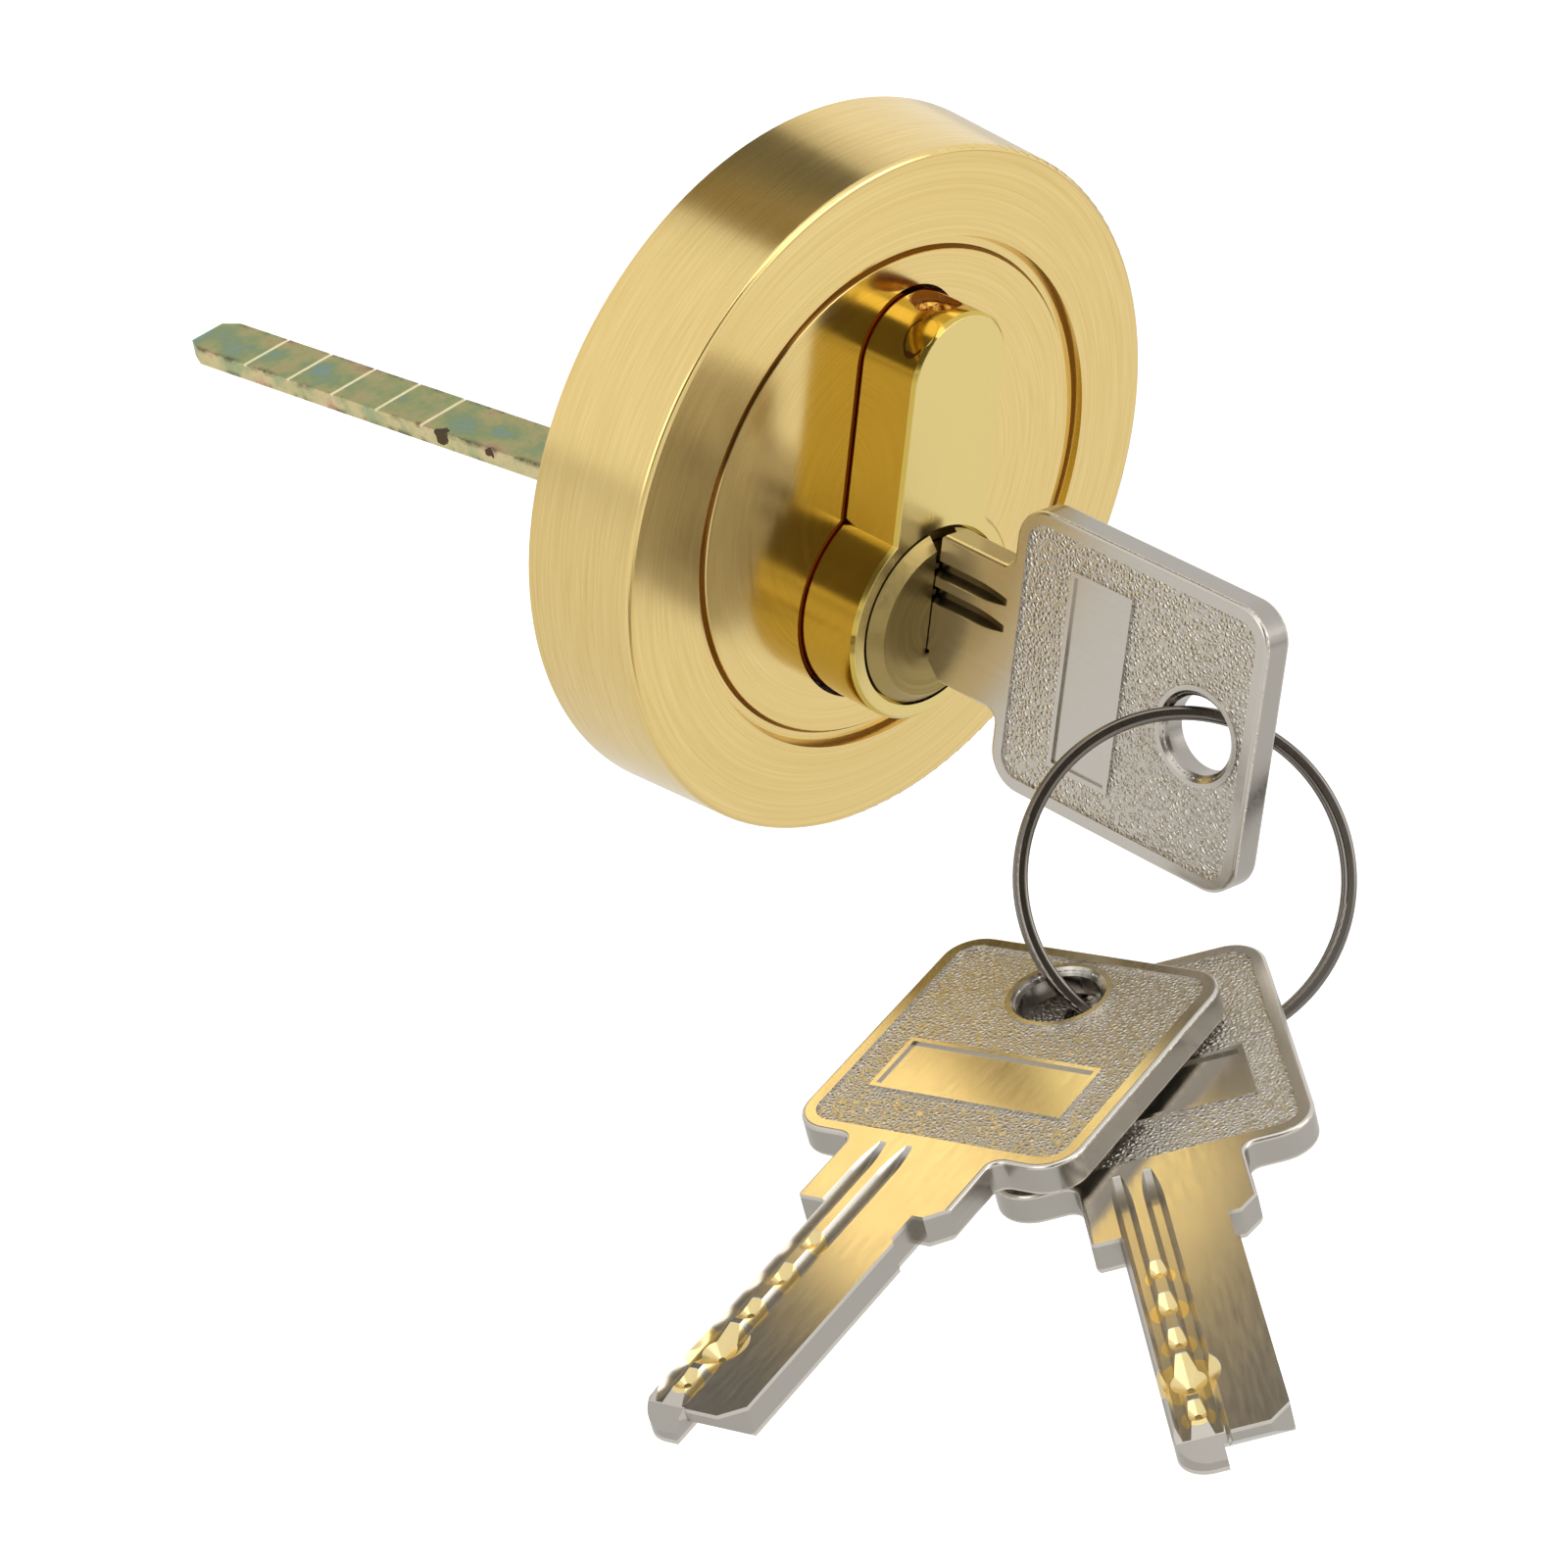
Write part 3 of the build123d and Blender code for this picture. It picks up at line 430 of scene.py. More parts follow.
# Tail bar. Flat steel, 5 mm by 1.5 mm, stamped with score lines and plated in yellow zinc. Its film
# shines teal and green on the wide face and cream on the edges; rubbed corners are dark.
def turned(x, y, z):
    """The matrix of three turns in degrees, about the piece's own X, Y and Z in that order."""
    turns = [Matrix.Rotation(math.radians(a), 3, axis) for a, axis in ((x, "X"), (y, "Y"), (z, "Z"))]
    return turns[0] @ turns[1] @ turns[2]


def own_place(tree, place, origin, turn):
    """The place in the piece's own lengths, from its origin and its turn."""
    back = turn.transposed()
    shift = {"Vector": place, "Location": -(back @ origin), "Rotation": back.to_euler()}
    return add(tree, "ShaderNodeMapping", shift).outputs[0]


BAR_PIVOT = Vector((0, 0.0112, -0.00088))
BAR_TURN = turned(-6.9, -13.5, 0)
BAR_HALF_W = 0.0025
BAR_HALF_T = 0.00075
SCORED = (0.028, 0.052)  # the scored length, from the pivot
LAST_SCORE = 0.0513
SCORE_PITCH = 0.0056
SCORE_HALF_W = 0.00013
SCORE_BARE = (BAR_HALF_T - 0.00012, 0.00011)  # middle level of a score's bare flanks, and half their height
RUST_SPOTS = ((0.0264, 0.0008), (0.0206, 0.0004))  # how far from the pivot, and how large
RAGGED = 0.0014  # how much a rust spot's edge wanders in all
FILM_DRIFT = (70, -0.06)  # how far the film's colour moves for each metre outwards, and in the middle
yellow_zinc, tree, shader = material("steel_yellow_zinc")
place = add(tree, "ShaderNodeTexCoord").outputs["Object"]
own = own_place(tree, place, BAR_PIVOT, BAR_TURN)
spot = add(tree, "ShaderNodeSeparateXYZ", {"Vector": own})
sides = add(tree, "ShaderNodeVectorMath", {0: own}, operation="ABSOLUTE")
side = add(tree, "ShaderNodeSeparateXYZ", {"Vector": sides.outputs[0]})
# the film in patches of about 3 mm, on the wide face teal in the middle and ochre at the edges
patch = add(tree, "ShaderNodeTexNoise", {"Vector": own, "Scale": 330, "Detail": 4, "Roughness": 0.6})
for_each, at_middle = FILM_DRIFT
outward = add(
    tree, "ShaderNodeMath", {0: side.outputs["X"], 1: for_each, 2: at_middle}, operation="MULTIPLY_ADD"
)
drift = add(tree, "ShaderNodeMath", {0: patch.outputs["Fac"], 1: outward.outputs[0]}, operation="ADD")


def film(tree, source, stops):
    """A colour ramp from (position, hex code) pairs."""
    made = add(tree, "ShaderNodeValToRGB", {"Fac": source})
    ramp = made.color_ramp
    for element, (position, code) in zip(ramp.elements, (stops[0], stops[-1])):
        element.position = position
        element.color = linear(code)
    for position, code in stops[1:-1]:
        ramp.elements.new(position).color = linear(code)
    return made


FACE_FILM = ((0.32, "#9DB8AE"), (0.43, "#A5B88A"), (0.53, "#B9BF86"), (0.64, "#CFC48E"), (0.78, "#CDA486"))
EDGE_FILM = ((0.36, "#B3BC90"), (0.48, "#D6CB98"), (0.58, "#E0D2A2"), (0.68, "#D9A78F"), (0.8, "#B5B48C"))
face_film = film(tree, drift.outputs[0], FACE_FILM)
edge_film = film(tree, patch.outputs["Fac"], EDGE_FILM)
on_face = add(
    tree, "ShaderNodeMath", {0: side.outputs["Z"], 1: BAR_HALF_T - 0.00002}, operation="GREATER_THAN"
)
base = add(
    tree,
    "ShaderNodeMix",
    {"Factor": on_face.outputs[0], "A": edge_film.outputs["Color"], "B": face_film.outputs["Color"]},
    data_type="RGBA",
)
# rubbed corners: on the bar's skin this sum is the distance from the nearest long corner
both = add(tree, "ShaderNodeMath", {0: side.outputs["X"], 1: side.outputs["Z"]}, operation="ADD")
from_corner = add(
    tree, "ShaderNodeMath", {0: BAR_HALF_W + BAR_HALF_T, 1: both.outputs[0]}, operation="SUBTRACT"
)
close = add(
    tree,
    "ShaderNodeMapRange",
    {"Value": from_corner.outputs[0], "From Min": 0, "From Max": 0.0005, "To Min": 0.9, "To Max": 0},
)
grain = add(tree, "ShaderNodeTexNoise", {"Vector": own, "Scale": 1300, "Detail": 4})
rub = add(tree, "ShaderNodeTexNoise", {"Vector": own, "Scale": 420, "Detail": 5, "Roughness": 0.65})
blotch = add(tree, "ShaderNodeMapRange", {"Value": rub.outputs["Fac"], "From Min": 0.48, "From Max": 0.62})
rubbed = add(tree, "ShaderNodeMath", {0: close.outputs[0], 1: blotch.outputs[0]}, operation="MULTIPLY")
# and two rust spots on the left edge
rust = rubbed.outputs[0]
for along, reach in RUST_SPOTS:
    away = add(
        tree,
        "ShaderNodeVectorMath",
        {0: own, 1: (-BAR_HALF_W, along, BAR_HALF_T / 2)},
        operation="DISTANCE",
    )
    uneven = add(
        tree,
        "ShaderNodeMath",
        {0: grain.outputs["Fac"], 1: RAGGED, 2: reach - RAGGED / 2},
        operation="MULTIPLY_ADD",
    )
    inside = add(
        tree, "ShaderNodeMath", {0: away.outputs["Value"], 1: uneven.outputs[0]}, operation="LESS_THAN"
    )
    rust = add(tree, "ShaderNodeMath", {0: rust, 1: inside.outputs[0]}, operation="MAXIMUM").outputs[0]
worn = add(
    tree,
    "ShaderNodeMix",
    {"Factor": rust, "A": base.outputs["Result"], "B": linear("#5B4A31")},
    data_type="RGBA",
)
# the score lines are bare bright metal
from_last = add(tree, "ShaderNodeMath", {0: spot.outputs["Y"], 1: LAST_SCORE}, operation="SUBTRACT")
nearest = add(tree, "ShaderNodeMath", {0: from_last.outputs[0], 1: SCORE_PITCH}, operation="PINGPONG")
again = add(tree, "ShaderNodeMath", {0: SCORE_PITCH, 1: nearest.outputs[0]}, operation="SUBTRACT")
to_score = add(tree, "ShaderNodeMath", {0: nearest.outputs[0], 1: again.outputs[0]}, operation="MINIMUM")
in_score = add(tree, "ShaderNodeMath", {0: to_score.outputs[0], 1: SCORE_HALF_W}, operation="LESS_THAN")
flanks, half_height = SCORE_BARE
below = add(tree, "ShaderNodeMath", {0: spot.outputs["Z"], 1: flanks, 2: half_height}, operation="COMPARE")
past = add(tree, "ShaderNodeMath", {0: spot.outputs["Y"], 1: SCORED[0]}, operation="GREATER_THAN")
near_tip = add(tree, "ShaderNodeMath", {0: spot.outputs["Y"], 1: SCORED[1]}, operation="LESS_THAN")
cut_in = add(tree, "ShaderNodeMath", {0: in_score.outputs[0], 1: below.outputs[0]}, operation="MULTIPLY")
among = add(tree, "ShaderNodeMath", {0: past.outputs[0], 1: near_tip.outputs[0]}, operation="MULTIPLY")
bright = add(tree, "ShaderNodeMath", {0: cut_in.outputs[0], 1: among.outputs[0]}, operation="MULTIPLY")
colour = add(
    tree,
    "ShaderNodeMix",
    {"Factor": bright.outputs[0], "A": worn.outputs["Result"], "B": linear("#DDD5B6")},
    data_type="RGBA",
)
gloss = add(tree, "ShaderNodeMapRange", {"Value": grain.outputs["Fac"], "To Min": 0.38, "To Max": 0.58})
relief = add(tree, "ShaderNodeBump", {"Height": grain.outputs["Fac"], "Strength": 0.3, "Distance": 0.0001})
tree.links.new(colour.outputs["Result"], shader.inputs["Base Color"])
tree.links.new(gloss.outputs[0], shader.inputs["Roughness"])
tree.links.new(relief.outputs[0], shader.inputs["Normal"])
finish(yellow_zinc, nodes["tail_bar"])

# Keys. Cast brass with two milled grooves, nickel plated before the five cuts were made, so these
# are bare brass. Both sides of the bow have a sunk field, pebbled round a framed plain panel.
KEY_T = 0.0025
FIELD_D = 0.00022
FIELD_END = -0.0184
PANEL = (0.006, 0.0159)
PANEL_AT = (-0.01045, 0, 0)
CUT_XS = [-0.0306 - 0.0039 * i for i in range(5)]
CUT_ACROSS = 0.00195
CUT_RS = (0.00105, 0.0013, 0.0012, 0.0023, 0.00115)
CUT_LEVELS = (-0.0006, KEY_T / 2 - 0.00003)  # a cut's bare brass lies between these
GROOVES_END = -0.019
GROOVES_LEVEL = (0.00082, 0.00036)  # middle level of the two long grooves, and half their depth
GROOVES_ACROSS = (0.002, 0.0018)  # the middle of both across the blade, and half their width
ALONG_KEY = (0.15, 1, 1)
key_places = {
    "inserted_key": (Vector((0, -0.0426, 0.00155)), Matrix(((0, 0, -1), (-1, 0, 0), (0, 1, 0)))),
    "loose_key_upper": (Vector((-0.0149, -0.04484, -0.0154)), turned(-10.56, -15.53, 10.76)),
    "loose_key_lower": (Vector((-0.01156, -0.04768, -0.0168)), turned(-9.72, -16.7, 49.54)),
}
for name, (hole, turn) in key_places.items():
    nickel, tree, shader = material(f"nickel_plate_{name}")
    place = add(tree, "ShaderNodeTexCoord").outputs["Object"]
    # the key's own lengths: x towards the bow's end, y across, z out of the milled face
    own = own_place(tree, place, hole, turn)
    spot = add(tree, "ShaderNodeSeparateXYZ", {"Vector": own})
    level = add(tree, "ShaderNodeMath", {0: spot.outputs["Z"]}, operation="ABSOLUTE")
    on_floor = add(
        tree,
        "ShaderNodeMath",
        {0: level.outputs[0], 1: KEY_T / 2 - FIELD_D, 2: 0.00004},
        operation="COMPARE",
    )
    on_bow = add(tree, "ShaderNodeMath", {0: spot.outputs["X"], 1: FIELD_END}, operation="GREATER_THAN")
    from_panel = add(tree, "ShaderNodeVectorMath", {0: own, 1: PANEL_AT}, operation="SUBTRACT")
    reach = add(tree, "ShaderNodeVectorMath", {0: from_panel.outputs[0]}, operation="ABSOLUTE")
    reach_on = add(tree, "ShaderNodeSeparateXYZ", {"Vector": reach.outputs[0]})
    off_x = add(
        tree, "ShaderNodeMath", {0: reach_on.outputs["X"], 1: PANEL[0] / 2}, operation="GREATER_THAN"
    )
    off_y = add(
        tree, "ShaderNodeMath", {0: reach_on.outputs["Y"], 1: PANEL[1] / 2}, operation="GREATER_THAN"
    )
    off = add(tree, "ShaderNodeMath", {0: off_x.outputs[0], 1: off_y.outputs[0]}, operation="MAXIMUM")
    field = add(
        tree, "ShaderNodeMath", {0: on_floor.outputs[0], 1: on_bow.outputs[0]}, operation="MULTIPLY"
    )
    pebbled = add(tree, "ShaderNodeMath", {0: field.outputs[0], 1: off.outputs[0]}, operation="MULTIPLY")
    # packed grains, parted by narrow valleys: about 0.3 mm on the real key, drawn a little coarser
    grains = add(tree, "ShaderNodeTexVoronoi", {"Vector": own, "Scale": 2700}, feature="DISTANCE_TO_EDGE")
    domed = add(
        tree,
        "ShaderNodeMapRange",
        {"Value": grains.outputs["Distance"], "From Max": 0.45},
        interpolation_type="SMOOTHSTEP",
    )
    high = add(tree, "ShaderNodeMath", {0: domed.outputs[0], 1: pebbled.outputs[0]}, operation="MULTIPLY")
    rough = add(tree, "ShaderNodeBump", {"Height": high.outputs[0], "Strength": 0.75, "Distance": 0.00012})
    # faint wear runs along the key
    wear_at = add(tree, "ShaderNodeVectorMath", {0: own, 1: ALONG_KEY}, operation="MULTIPLY")
    wear = add(tree, "ShaderNodeTexNoise", {"Vector": wear_at.outputs[0], "Scale": 2600, "Detail": 3})
    worn = add(
        tree, "ShaderNodeBump", {"Height": wear.outputs["Fac"], "Strength": 0.03, "Distance": 0.00003}
    )
    tree.links.new(rough.outputs[0], worn.inputs["Normal"])
    sheen = add(tree, "ShaderNodeMapRange", {"Value": wear.outputs["Fac"], "To Min": 0.16, "To Max": 0.3})
    gloss = add(
        tree,
        "ShaderNodeMath",
        {0: pebbled.outputs[0], 1: 0.1, 2: sheen.outputs[0]},
        operation="MULTIPLY_ADD",
    )
    # bare brass inside the cuts
    flat = add(tree, "ShaderNodeVectorMath", {0: own, 1: (1, 1, 0)}, operation="MULTIPLY")
    bare = 0.0
    for cut_x, cut_r in zip(CUT_XS, CUT_RS):
        middle = (cut_x, CUT_ACROSS, 0)
        away = add(tree, "ShaderNodeVectorMath", {0: flat.outputs[0], 1: middle}, operation="DISTANCE")
        inside = add(tree, "ShaderNodeMath", {0: away.outputs["Value"], 1: cut_r}, operation="LESS_THAN")
        bare = add(tree, "ShaderNodeMath", {0: inside.outputs[0], 1: bare}, operation="MAXIMUM").outputs[0]
    above = add(tree, "ShaderNodeMath", {0: spot.outputs["Z"], 1: CUT_LEVELS[0]}, operation="GREATER_THAN")
    sunk = add(tree, "ShaderNodeMath", {0: spot.outputs["Z"], 1: CUT_LEVELS[1]}, operation="LESS_THAN")
    within = add(tree, "ShaderNodeMath", {0: above.outputs[0], 1: sunk.outputs[0]}, operation="MULTIPLY")
    cut = add(tree, "ShaderNodeMath", {0: within.outputs[0], 1: bare}, operation="MULTIPLY")
    # painted shade: the plate colour is darker on the walls and in the grooves, below the field
    under_field = KEY_T / 2 - FIELD_D - 0.0001
    below = add(tree, "ShaderNodeMath", {0: level.outputs[0], 1: under_field}, operation="LESS_THAN")
    plate = add(
        tree,
        "ShaderNodeMix",
        {"Factor": below.outputs[0], "A": linear("#CAC4BA"), "B": linear("#A9A49C")},
        data_type="RGBA",
    )
    # painted shade: the two long grooves are darker, most of all in the key that is in use
    middle_z, half_d = GROOVES_LEVEL
    sunk_in = add(
        tree, "ShaderNodeMath", {0: spot.outputs["Z"], 1: middle_z, 2: half_d}, operation="COMPARE"
    )
    middle_y, half_w = GROOVES_ACROSS
    beside = add(
        tree, "ShaderNodeMath", {0: spot.outputs["Y"], 1: middle_y, 2: half_w}, operation="COMPARE"
    )
    on_blade = add(tree, "ShaderNodeMath", {0: spot.outputs["X"], 1: GROOVES_END}, operation="LESS_THAN")
    in_both = add(
        tree, "ShaderNodeMath", {0: sunk_in.outputs[0], 1: beside.outputs[0]}, operation="MULTIPLY"
    )
    grooved = add(
        tree, "ShaderNodeMath", {0: in_both.outputs[0], 1: on_blade.outputs[0]}, operation="MULTIPLY"
    )
    painted_groove_shade = linear("#857C6E" if name == "inserted_key" else "#C0BAB0")
    groove_shaded = add(
        tree,
        "ShaderNodeMix",
        {"Factor": grooved.outputs[0], "A": plate.outputs["Result"], "B": painted_groove_shade},
        data_type="RGBA",
    )
    tone = add(
        tree,
        "ShaderNodeMix",
        {"Factor": cut.outputs[0], "A": groove_shaded.outputs["Result"], "B": linear("#E6D096")},
        data_type="RGBA",
    )
    tree.links.new(tone.outputs["Result"], shader.inputs["Base Color"])
    tree.links.new(gloss.outputs[0], shader.inputs["Roughness"])
    tree.links.new(worn.outputs[0], shader.inputs["Normal"])
    finish(nickel, nodes[name])

# Split ring. A flat strand of spring steel wound in two turns, nickel plated and rubbed bright by
# the keys that hang on it.
RING_CENTRE = (-0.00425, -0.0459, -0.00766)
RING_AXIS = (0.564, 0.649, -0.511)
ring_nickel, tree, shader = material("nickel_plate_ring")
place = add(tree, "ShaderNodeTexCoord").outputs["Object"]
rub = add(tree, "ShaderNodeTexNoise", {"Vector": place, "Scale": 1800, "Detail": 3})
gloss = add(tree, "ShaderNodeMapRange", {"Value": rub.outputs["Fac"], "To Min": 0.1, "To Max": 0.2})
tree.links.new(gloss.outputs[0], shader.inputs["Roughness"])
# painted shade: a dark line in the crease where the two turns meet, in the ring's middle plane
centred = add(tree, "ShaderNodeVectorMath", {0: place, 1: RING_CENTRE}, operation="SUBTRACT")
axial = add(tree, "ShaderNodeVectorMath", {0: centred.outputs[0], 1: RING_AXIS}, operation="DOT_PRODUCT")
between = add(tree, "ShaderNodeMath", {0: axial.outputs["Value"], 1: 0.0, 2: 0.0001}, operation="COMPARE")
tone = add(
    tree,
    "ShaderNodeMix",
    {"Factor": between.outputs[0], "A": linear("#77716A"), "B": linear("#38342F")},
    data_type="RGBA",
)
tree.links.new(tone.outputs["Result"], shader.inputs["Base Color"])
finish(ring_nickel, nodes["split_ring"])

# Pin springs and the cap's lock spring. Hard bronze wire, closed at both ends, where the last turns
# lie on each other. A pin spring stands loose on its driver pin, and the other behind the lock pin.
bronze = marked_metal("bronze_spring_wire", "#C99A62", 2500, 2, (0.2, 0.35))
CLOSED_TURNS = 1.2
WIRE_SIDES = 8
STEPS_A_TURN = 22
wound = bpy.data.node_groups.new("wound_spring", "GeometryNodeTree")
wound.interface.new_socket("Geometry", in_out="INPUT", socket_type="NodeSocketGeometry")
for name in ("Length", "Mean Radius", "Wire Radius", "Turns"):
    wound.interface.new_socket(name, in_out="INPUT", socket_type="NodeSocketFloat")
for name in ("Foot", "Turned"):
    wound.interface.new_socket(name, in_out="INPUT", socket_type="NodeSocketVector")
wound.interface.new_socket("Geometry", in_out="OUTPUT", socket_type="NodeSocketGeometry")
size = add(wound, "NodeGroupInput").outputs
steps = add(wound, "ShaderNodeMath", {0: size["Turns"], 1: STEPS_A_TURN}, operation="MULTIPLY")
straight = add(wound, "GeometryNodeCurvePrimitiveLine")
line = add(wound, "GeometryNodeResampleCurve", {"Curve": straight.outputs[0], "Count": steps.outputs[0]})
share = add(wound, "GeometryNodeSplineParameter").outputs["Factor"]
# the pitch: the wire's own width in the closed turns, and open between them
closed = add(wound, "ShaderNodeMath", {0: CLOSED_TURNS, 1: size["Turns"]}, operation="DIVIDE").outputs[0]
opened = add(wound, "ShaderNodeMath", {0: 1.0, 1: closed}, operation="SUBTRACT").outputs[0]
thin = size["Wire Radius"]
stack = add(wound, "ShaderNodeMath", {0: thin, 1: 2 * CLOSED_TURNS}, operation="MULTIPLY").outputs[0]
solid = add(wound, "ShaderNodeMath", {0: thin, 1: 2 + 4 * CLOSED_TURNS}, operation="MULTIPLY").outputs[0]
free = add(wound, "ShaderNodeMath", {0: size["Length"], 1: solid}, operation="SUBTRACT").outputs[0]
foot_rise = add(
    wound, "ShaderNodeMapRange", {"Value": share, "From Max": closed, "To Max": stack}
).outputs[0]
rising = {"Value": share, "From Min": closed, "From Max": opened, "To Max": free}
free_rise = add(wound, "ShaderNodeMapRange", rising).outputs[0]
head_rise = add(
    wound, "ShaderNodeMapRange", {"Value": share, "From Min": opened, "To Max": stack}
).outputs[0]
rise = thin
for part in (foot_rise, free_rise, head_rise):
    rise = add(wound, "ShaderNodeMath", {0: rise, 1: part}, operation="ADD").outputs[0]
# the turns round the spring's axis
around = add(wound, "ShaderNodeMath", {0: share, 1: size["Turns"]}, operation="MULTIPLY")
angle = add(
    wound, "ShaderNodeMath", {0: around.outputs[0], 1: 2 * math.pi}, operation="MULTIPLY"
).outputs[0]
reach = []
for operation in ("COSINE", "SINE"):
    swing = add(wound, "ShaderNodeMath", {0: angle}, operation=operation).outputs[0]
    out = add(wound, "ShaderNodeMath", {0: swing, 1: size["Mean Radius"]}, operation="MULTIPLY")
    reach.append(out.outputs[0])
point = add(wound, "ShaderNodeCombineXYZ", {"X": reach[0], "Y": reach[1], "Z": rise})
helix = add(wound, "GeometryNodeSetPosition", {"Geometry": line.outputs[0], "Position": point.outputs[0]})
wire = add(
    wound, "GeometryNodeCurvePrimitiveCircle", {"Resolution": WIRE_SIDES, "Radius": size["Wire Radius"]}
)
drawn = add(
    wound,
    "GeometryNodeCurveToMesh",
    {"Curve": helix.outputs[0], "Profile Curve": wire.outputs[0], "Fill Caps": True},
)
smooth = add(wound, "GeometryNodeSetShadeSmooth", {"Geometry": drawn.outputs[0]})
stood = add(
    wound,
    "GeometryNodeTransform",
    {"Geometry": smooth.outputs[0], "Translation": size["Foot"], "Rotation": size["Turned"]},
)
real = add(wound, "GeometryNodeRealizeInstances", {"Geometry": stood.outputs[0]})
finished = add(wound, "GeometryNodeSetMaterial", {"Geometry": real.outputs[0], "Material": bronze})
add(wound, "NodeGroupOutput", {"Geometry": finished.outputs[0]})


def coil(name, **sizes):
    """A spring of its own, wound by the tree with these sizes."""
    made = bpy.data.objects.new(name, bpy.data.meshes.new(name))
    bpy.context.scene.collection.objects.link(made)
    winding = made.modifiers.new("winding", "NODES")
    winding.node_group = wound
    for socket in wound.interface.items_tree:
        if socket.in_out == "INPUT" and socket.name in sizes:
            winding[socket.identifier] = sizes[socket.name]
    graph = bpy.context.evaluated_depsgraph_get()
    mesh = bpy.data.meshes.new_from_object(made.evaluated_get(graph))
    made.modifiers.remove(winding)
    made.data = mesh
    mesh.name = name
    return made


PIN_SPRING = {"Mean Radius": 0.00118, "Wire Radius": 0.00017, "Turns": 10.0}
for i in range(1, 6):
    low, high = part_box(f"pin_spring_{i}")
    foot = ((low[0] + high[0]) / 2, (low[1] + high[1]) / 2, low[2])
    spring = coil(f"pin_spring_coil_{i}", Length=high[2] - low[2], Foot=foot, **PIN_SPRING)
    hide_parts(f"pin_spring_{i}")
    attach(spring, "lock")
    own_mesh(spring)
CAP_SPRING = {"Mean Radius": 0.00045, "Wire Radius": 0.0001, "Turns": 6.0}
ALONG_Y = (-math.pi / 2, 0.0, 0.0)
low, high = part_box("cap_lock_spring")
foot = ((low[0] + high[0]) / 2, low[1], (low[2] + high[2]) / 2)
spring = coil("cap_lock_coil", Length=high[1] - low[1], Foot=foot, Turned=ALONG_Y, **CAP_SPRING)
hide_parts("cap_lock_spring")
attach(spring, "turning_plug")

# Studio. A matt white floor, low enough for the keys to turn round with the plug above it, a white
# surround and three soft lamps. Floor and surround are white to the camera at a plain level of light.
LOCK_FRONT = Vector((0, -0.02, 0))
ROOM_BELOW = 0.05
FLOOR_GLOW = 0.4
FILL = 0.75  # the surround's light on the lock, where 1 is what the camera sees
bpy.ops.mesh.primitive_plane_add(size=6, location=(0, 0, cad_size[0][2] - ROOM_BELOW))
floor = bpy.context.object
floor.name = "studio_floor"
white, tree, shader = material("studio_white")
shader.inputs["Metallic"].default_value = 0
shader.inputs["Roughness"].default_value = 0.9
shader.inputs["Base Color"].default_value = (0.9, 0.9, 0.9, 1)
ray = add(tree, "ShaderNodeLightPath")
seen = add(tree, "ShaderNodeMath", {0: ray.outputs["Is Camera Ray"], 1: FLOOR_GLOW}, operation="MULTIPLY")
shader.inputs["Emission Color"].default_value = (1, 1, 1, 1)
tree.links.new(seen.outputs[0], shader.inputs["Emission Strength"])
floor.data.materials.append(white)

world = bpy.data.worlds.new("studio")
bpy.context.scene.world = world
world.use_nodes = True
tree = world.node_tree
ray = add(tree, "ShaderNodeLightPath")
mirrored = add(
    tree,
    "ShaderNodeMath",
    {0: ray.outputs["Is Camera Ray"], 1: ray.outputs["Is Glossy Ray"]},
    operation="MAXIMUM",
)
through = add(
    tree,
    "ShaderNodeMath",
    {0: mirrored.outputs[0], 1: ray.outputs["Is Transmission Ray"]},
    operation="MAXIMUM",
)
plain = add(tree, "ShaderNodeMath", {0: through.outputs[0], 1: 1 - FILL, 2: FILL}, operation="MULTIPLY_ADD")
backdrop = tree.nodes["Background"]
backdrop.inputs["Color"].default_value = (1, 1, 1, 1)
tree.links.new(plain.outputs[0], backdrop.inputs["Strength"])


def lamp(name, at, size, watts):
    """A square area lamp at a place, aimed at the lock's front."""
    light = bpy.data.lights.new(name, "AREA")
    light.energy = watts
    light.size = size
    made = bpy.data.objects.new(name, light)
    made.location = at
    made.rotation_euler = (LOCK_FRONT - Vector(at)).to_track_quat("-Z", "Y").to_euler()
    bpy.context.scene.collection.objects.link(made)


lamp("lamp_above", (-0.1, -0.25, 0.5), 0.4, 0.5)
lamp("lamp_left", (-0.55, -0.1, 0.2), 0.35, 0.45)
lamp("lamp_right", (0.215, -0.43, 0.27), 0.3, 0.56)


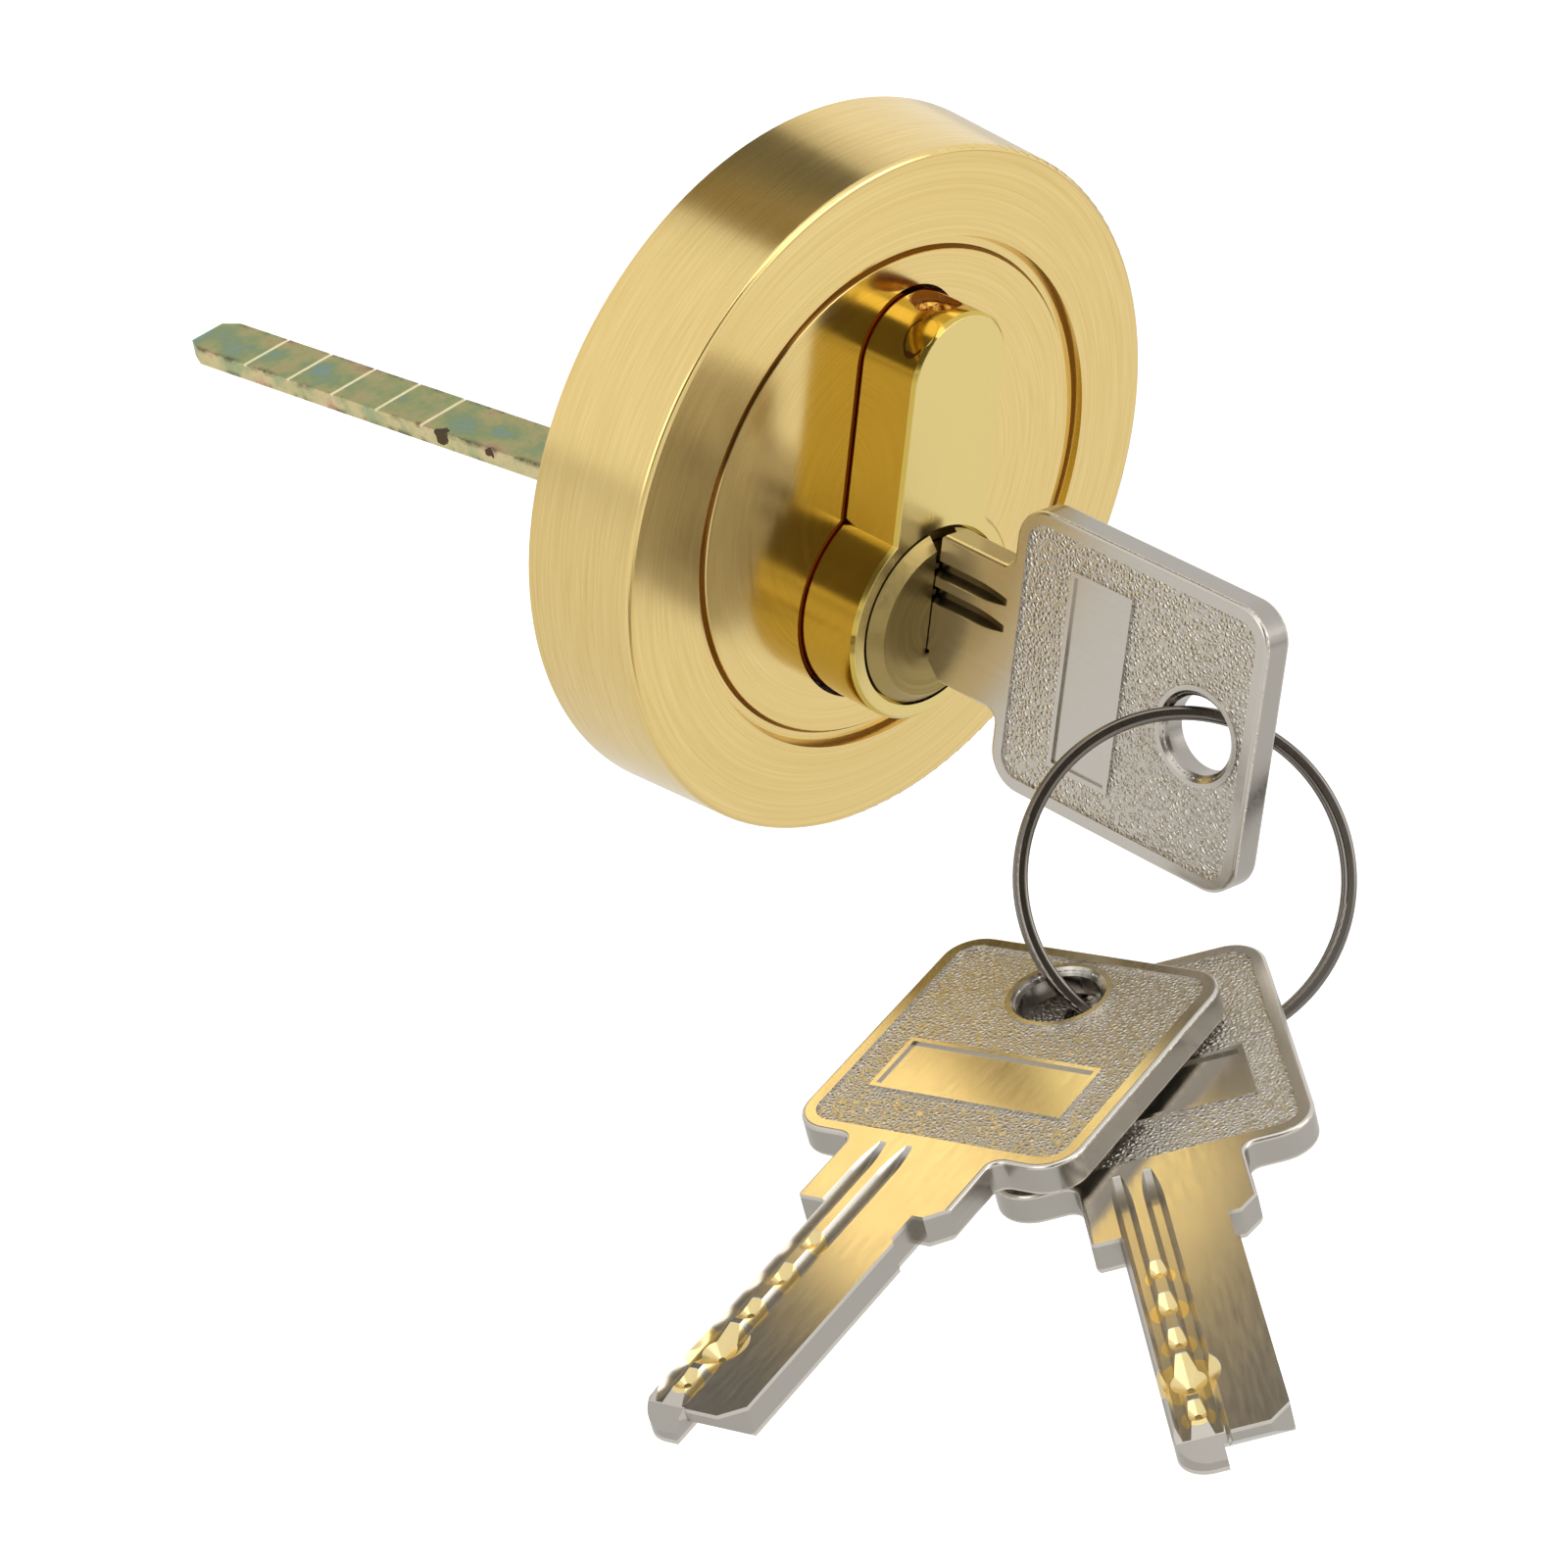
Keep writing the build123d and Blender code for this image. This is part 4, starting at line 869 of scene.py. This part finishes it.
# Three dark cards out of the picture give the bright metal its contrast: one behind the lock, one
# level above it that fades to its right, and one behind the camera.
def card(name, at, aim, size, shade, roll=0, fades=False):
    """A card that faces a point, turned by roll degrees. It is seen in reflections only."""
    bpy.ops.mesh.primitive_plane_add(size=1, location=at)
    made = bpy.context.object
    made.name = name
    made.scale = (*size, 1)
    facing = (Vector(aim) - Vector(at)).to_track_quat("Z", "Y").to_matrix()
    made.rotation_euler = (facing @ Matrix.Rotation(math.radians(roll), 3, "Z")).to_euler()
    felt, tree, shader = material(f"{name}_felt")
    shader.inputs["Metallic"].default_value = 0
    shader.inputs["Roughness"].default_value = 1
    shader.inputs["Base Color"].default_value = (*shade, 1)
    if fades:
        place = add(tree, "ShaderNodeTexCoord").outputs["Object"]
        spot = add(tree, "ShaderNodeSeparateXYZ", {"Vector": place})
        clear = add(
            tree, "ShaderNodeMapRange", {"Value": spot.outputs["X"], "From Min": -0.4, "From Max": 0.5}
        )
        through = add(tree, "ShaderNodeBsdfTransparent")
        blend = add(tree, "ShaderNodeMixShader", {"Fac": clear.outputs[0]})
        tree.links.new(shader.outputs[0], blend.inputs[1])
        tree.links.new(through.outputs[0], blend.inputs[2])
        tree.links.new(blend.outputs[0], tree.nodes["Material Output"].inputs["Surface"])
    made.data.materials.append(felt)
    made.visible_camera = False
    made.visible_shadow = False
    made.visible_diffuse = False


card("card_behind", (0.07, 0.43, 0.38), (0, 0, 0), (0.4, 0.34), (0.16, 0.15, 0.13))
card("card_above", (0.21, 0.34, 0.5), (0.21, 0.34, 0), (0.6, 0.3), (0.35, 0.27, 0.12), 180, fades=True)
card("card_camera", (-0.289, -0.337, 0.231), (0, 0, 0), (0.22, 0.48), (0.14, 0.12, 0.09), 26.5)

# Camera. In front of the lock, to its left and above, with a long lens and tilted a little. Its
# place, turns and lens were fitted to the photograph's edges.
lens = bpy.data.cameras.new("photo_camera")
lens.lens = 125.5525
lens.sensor_width = 36
lens.clip_start = 0.01
camera = bpy.data.objects.new("photo_camera", lens)
camera.location = (-0.282035, -0.261812, 0.171977)
camera.rotation_euler = Euler([math.radians(a) for a in (63.2818, -5.4583, -44.5994)])
bpy.context.scene.collection.objects.link(camera)
bpy.context.scene.camera = camera
bpy.context.scene.view_settings.view_transform = "Standard"
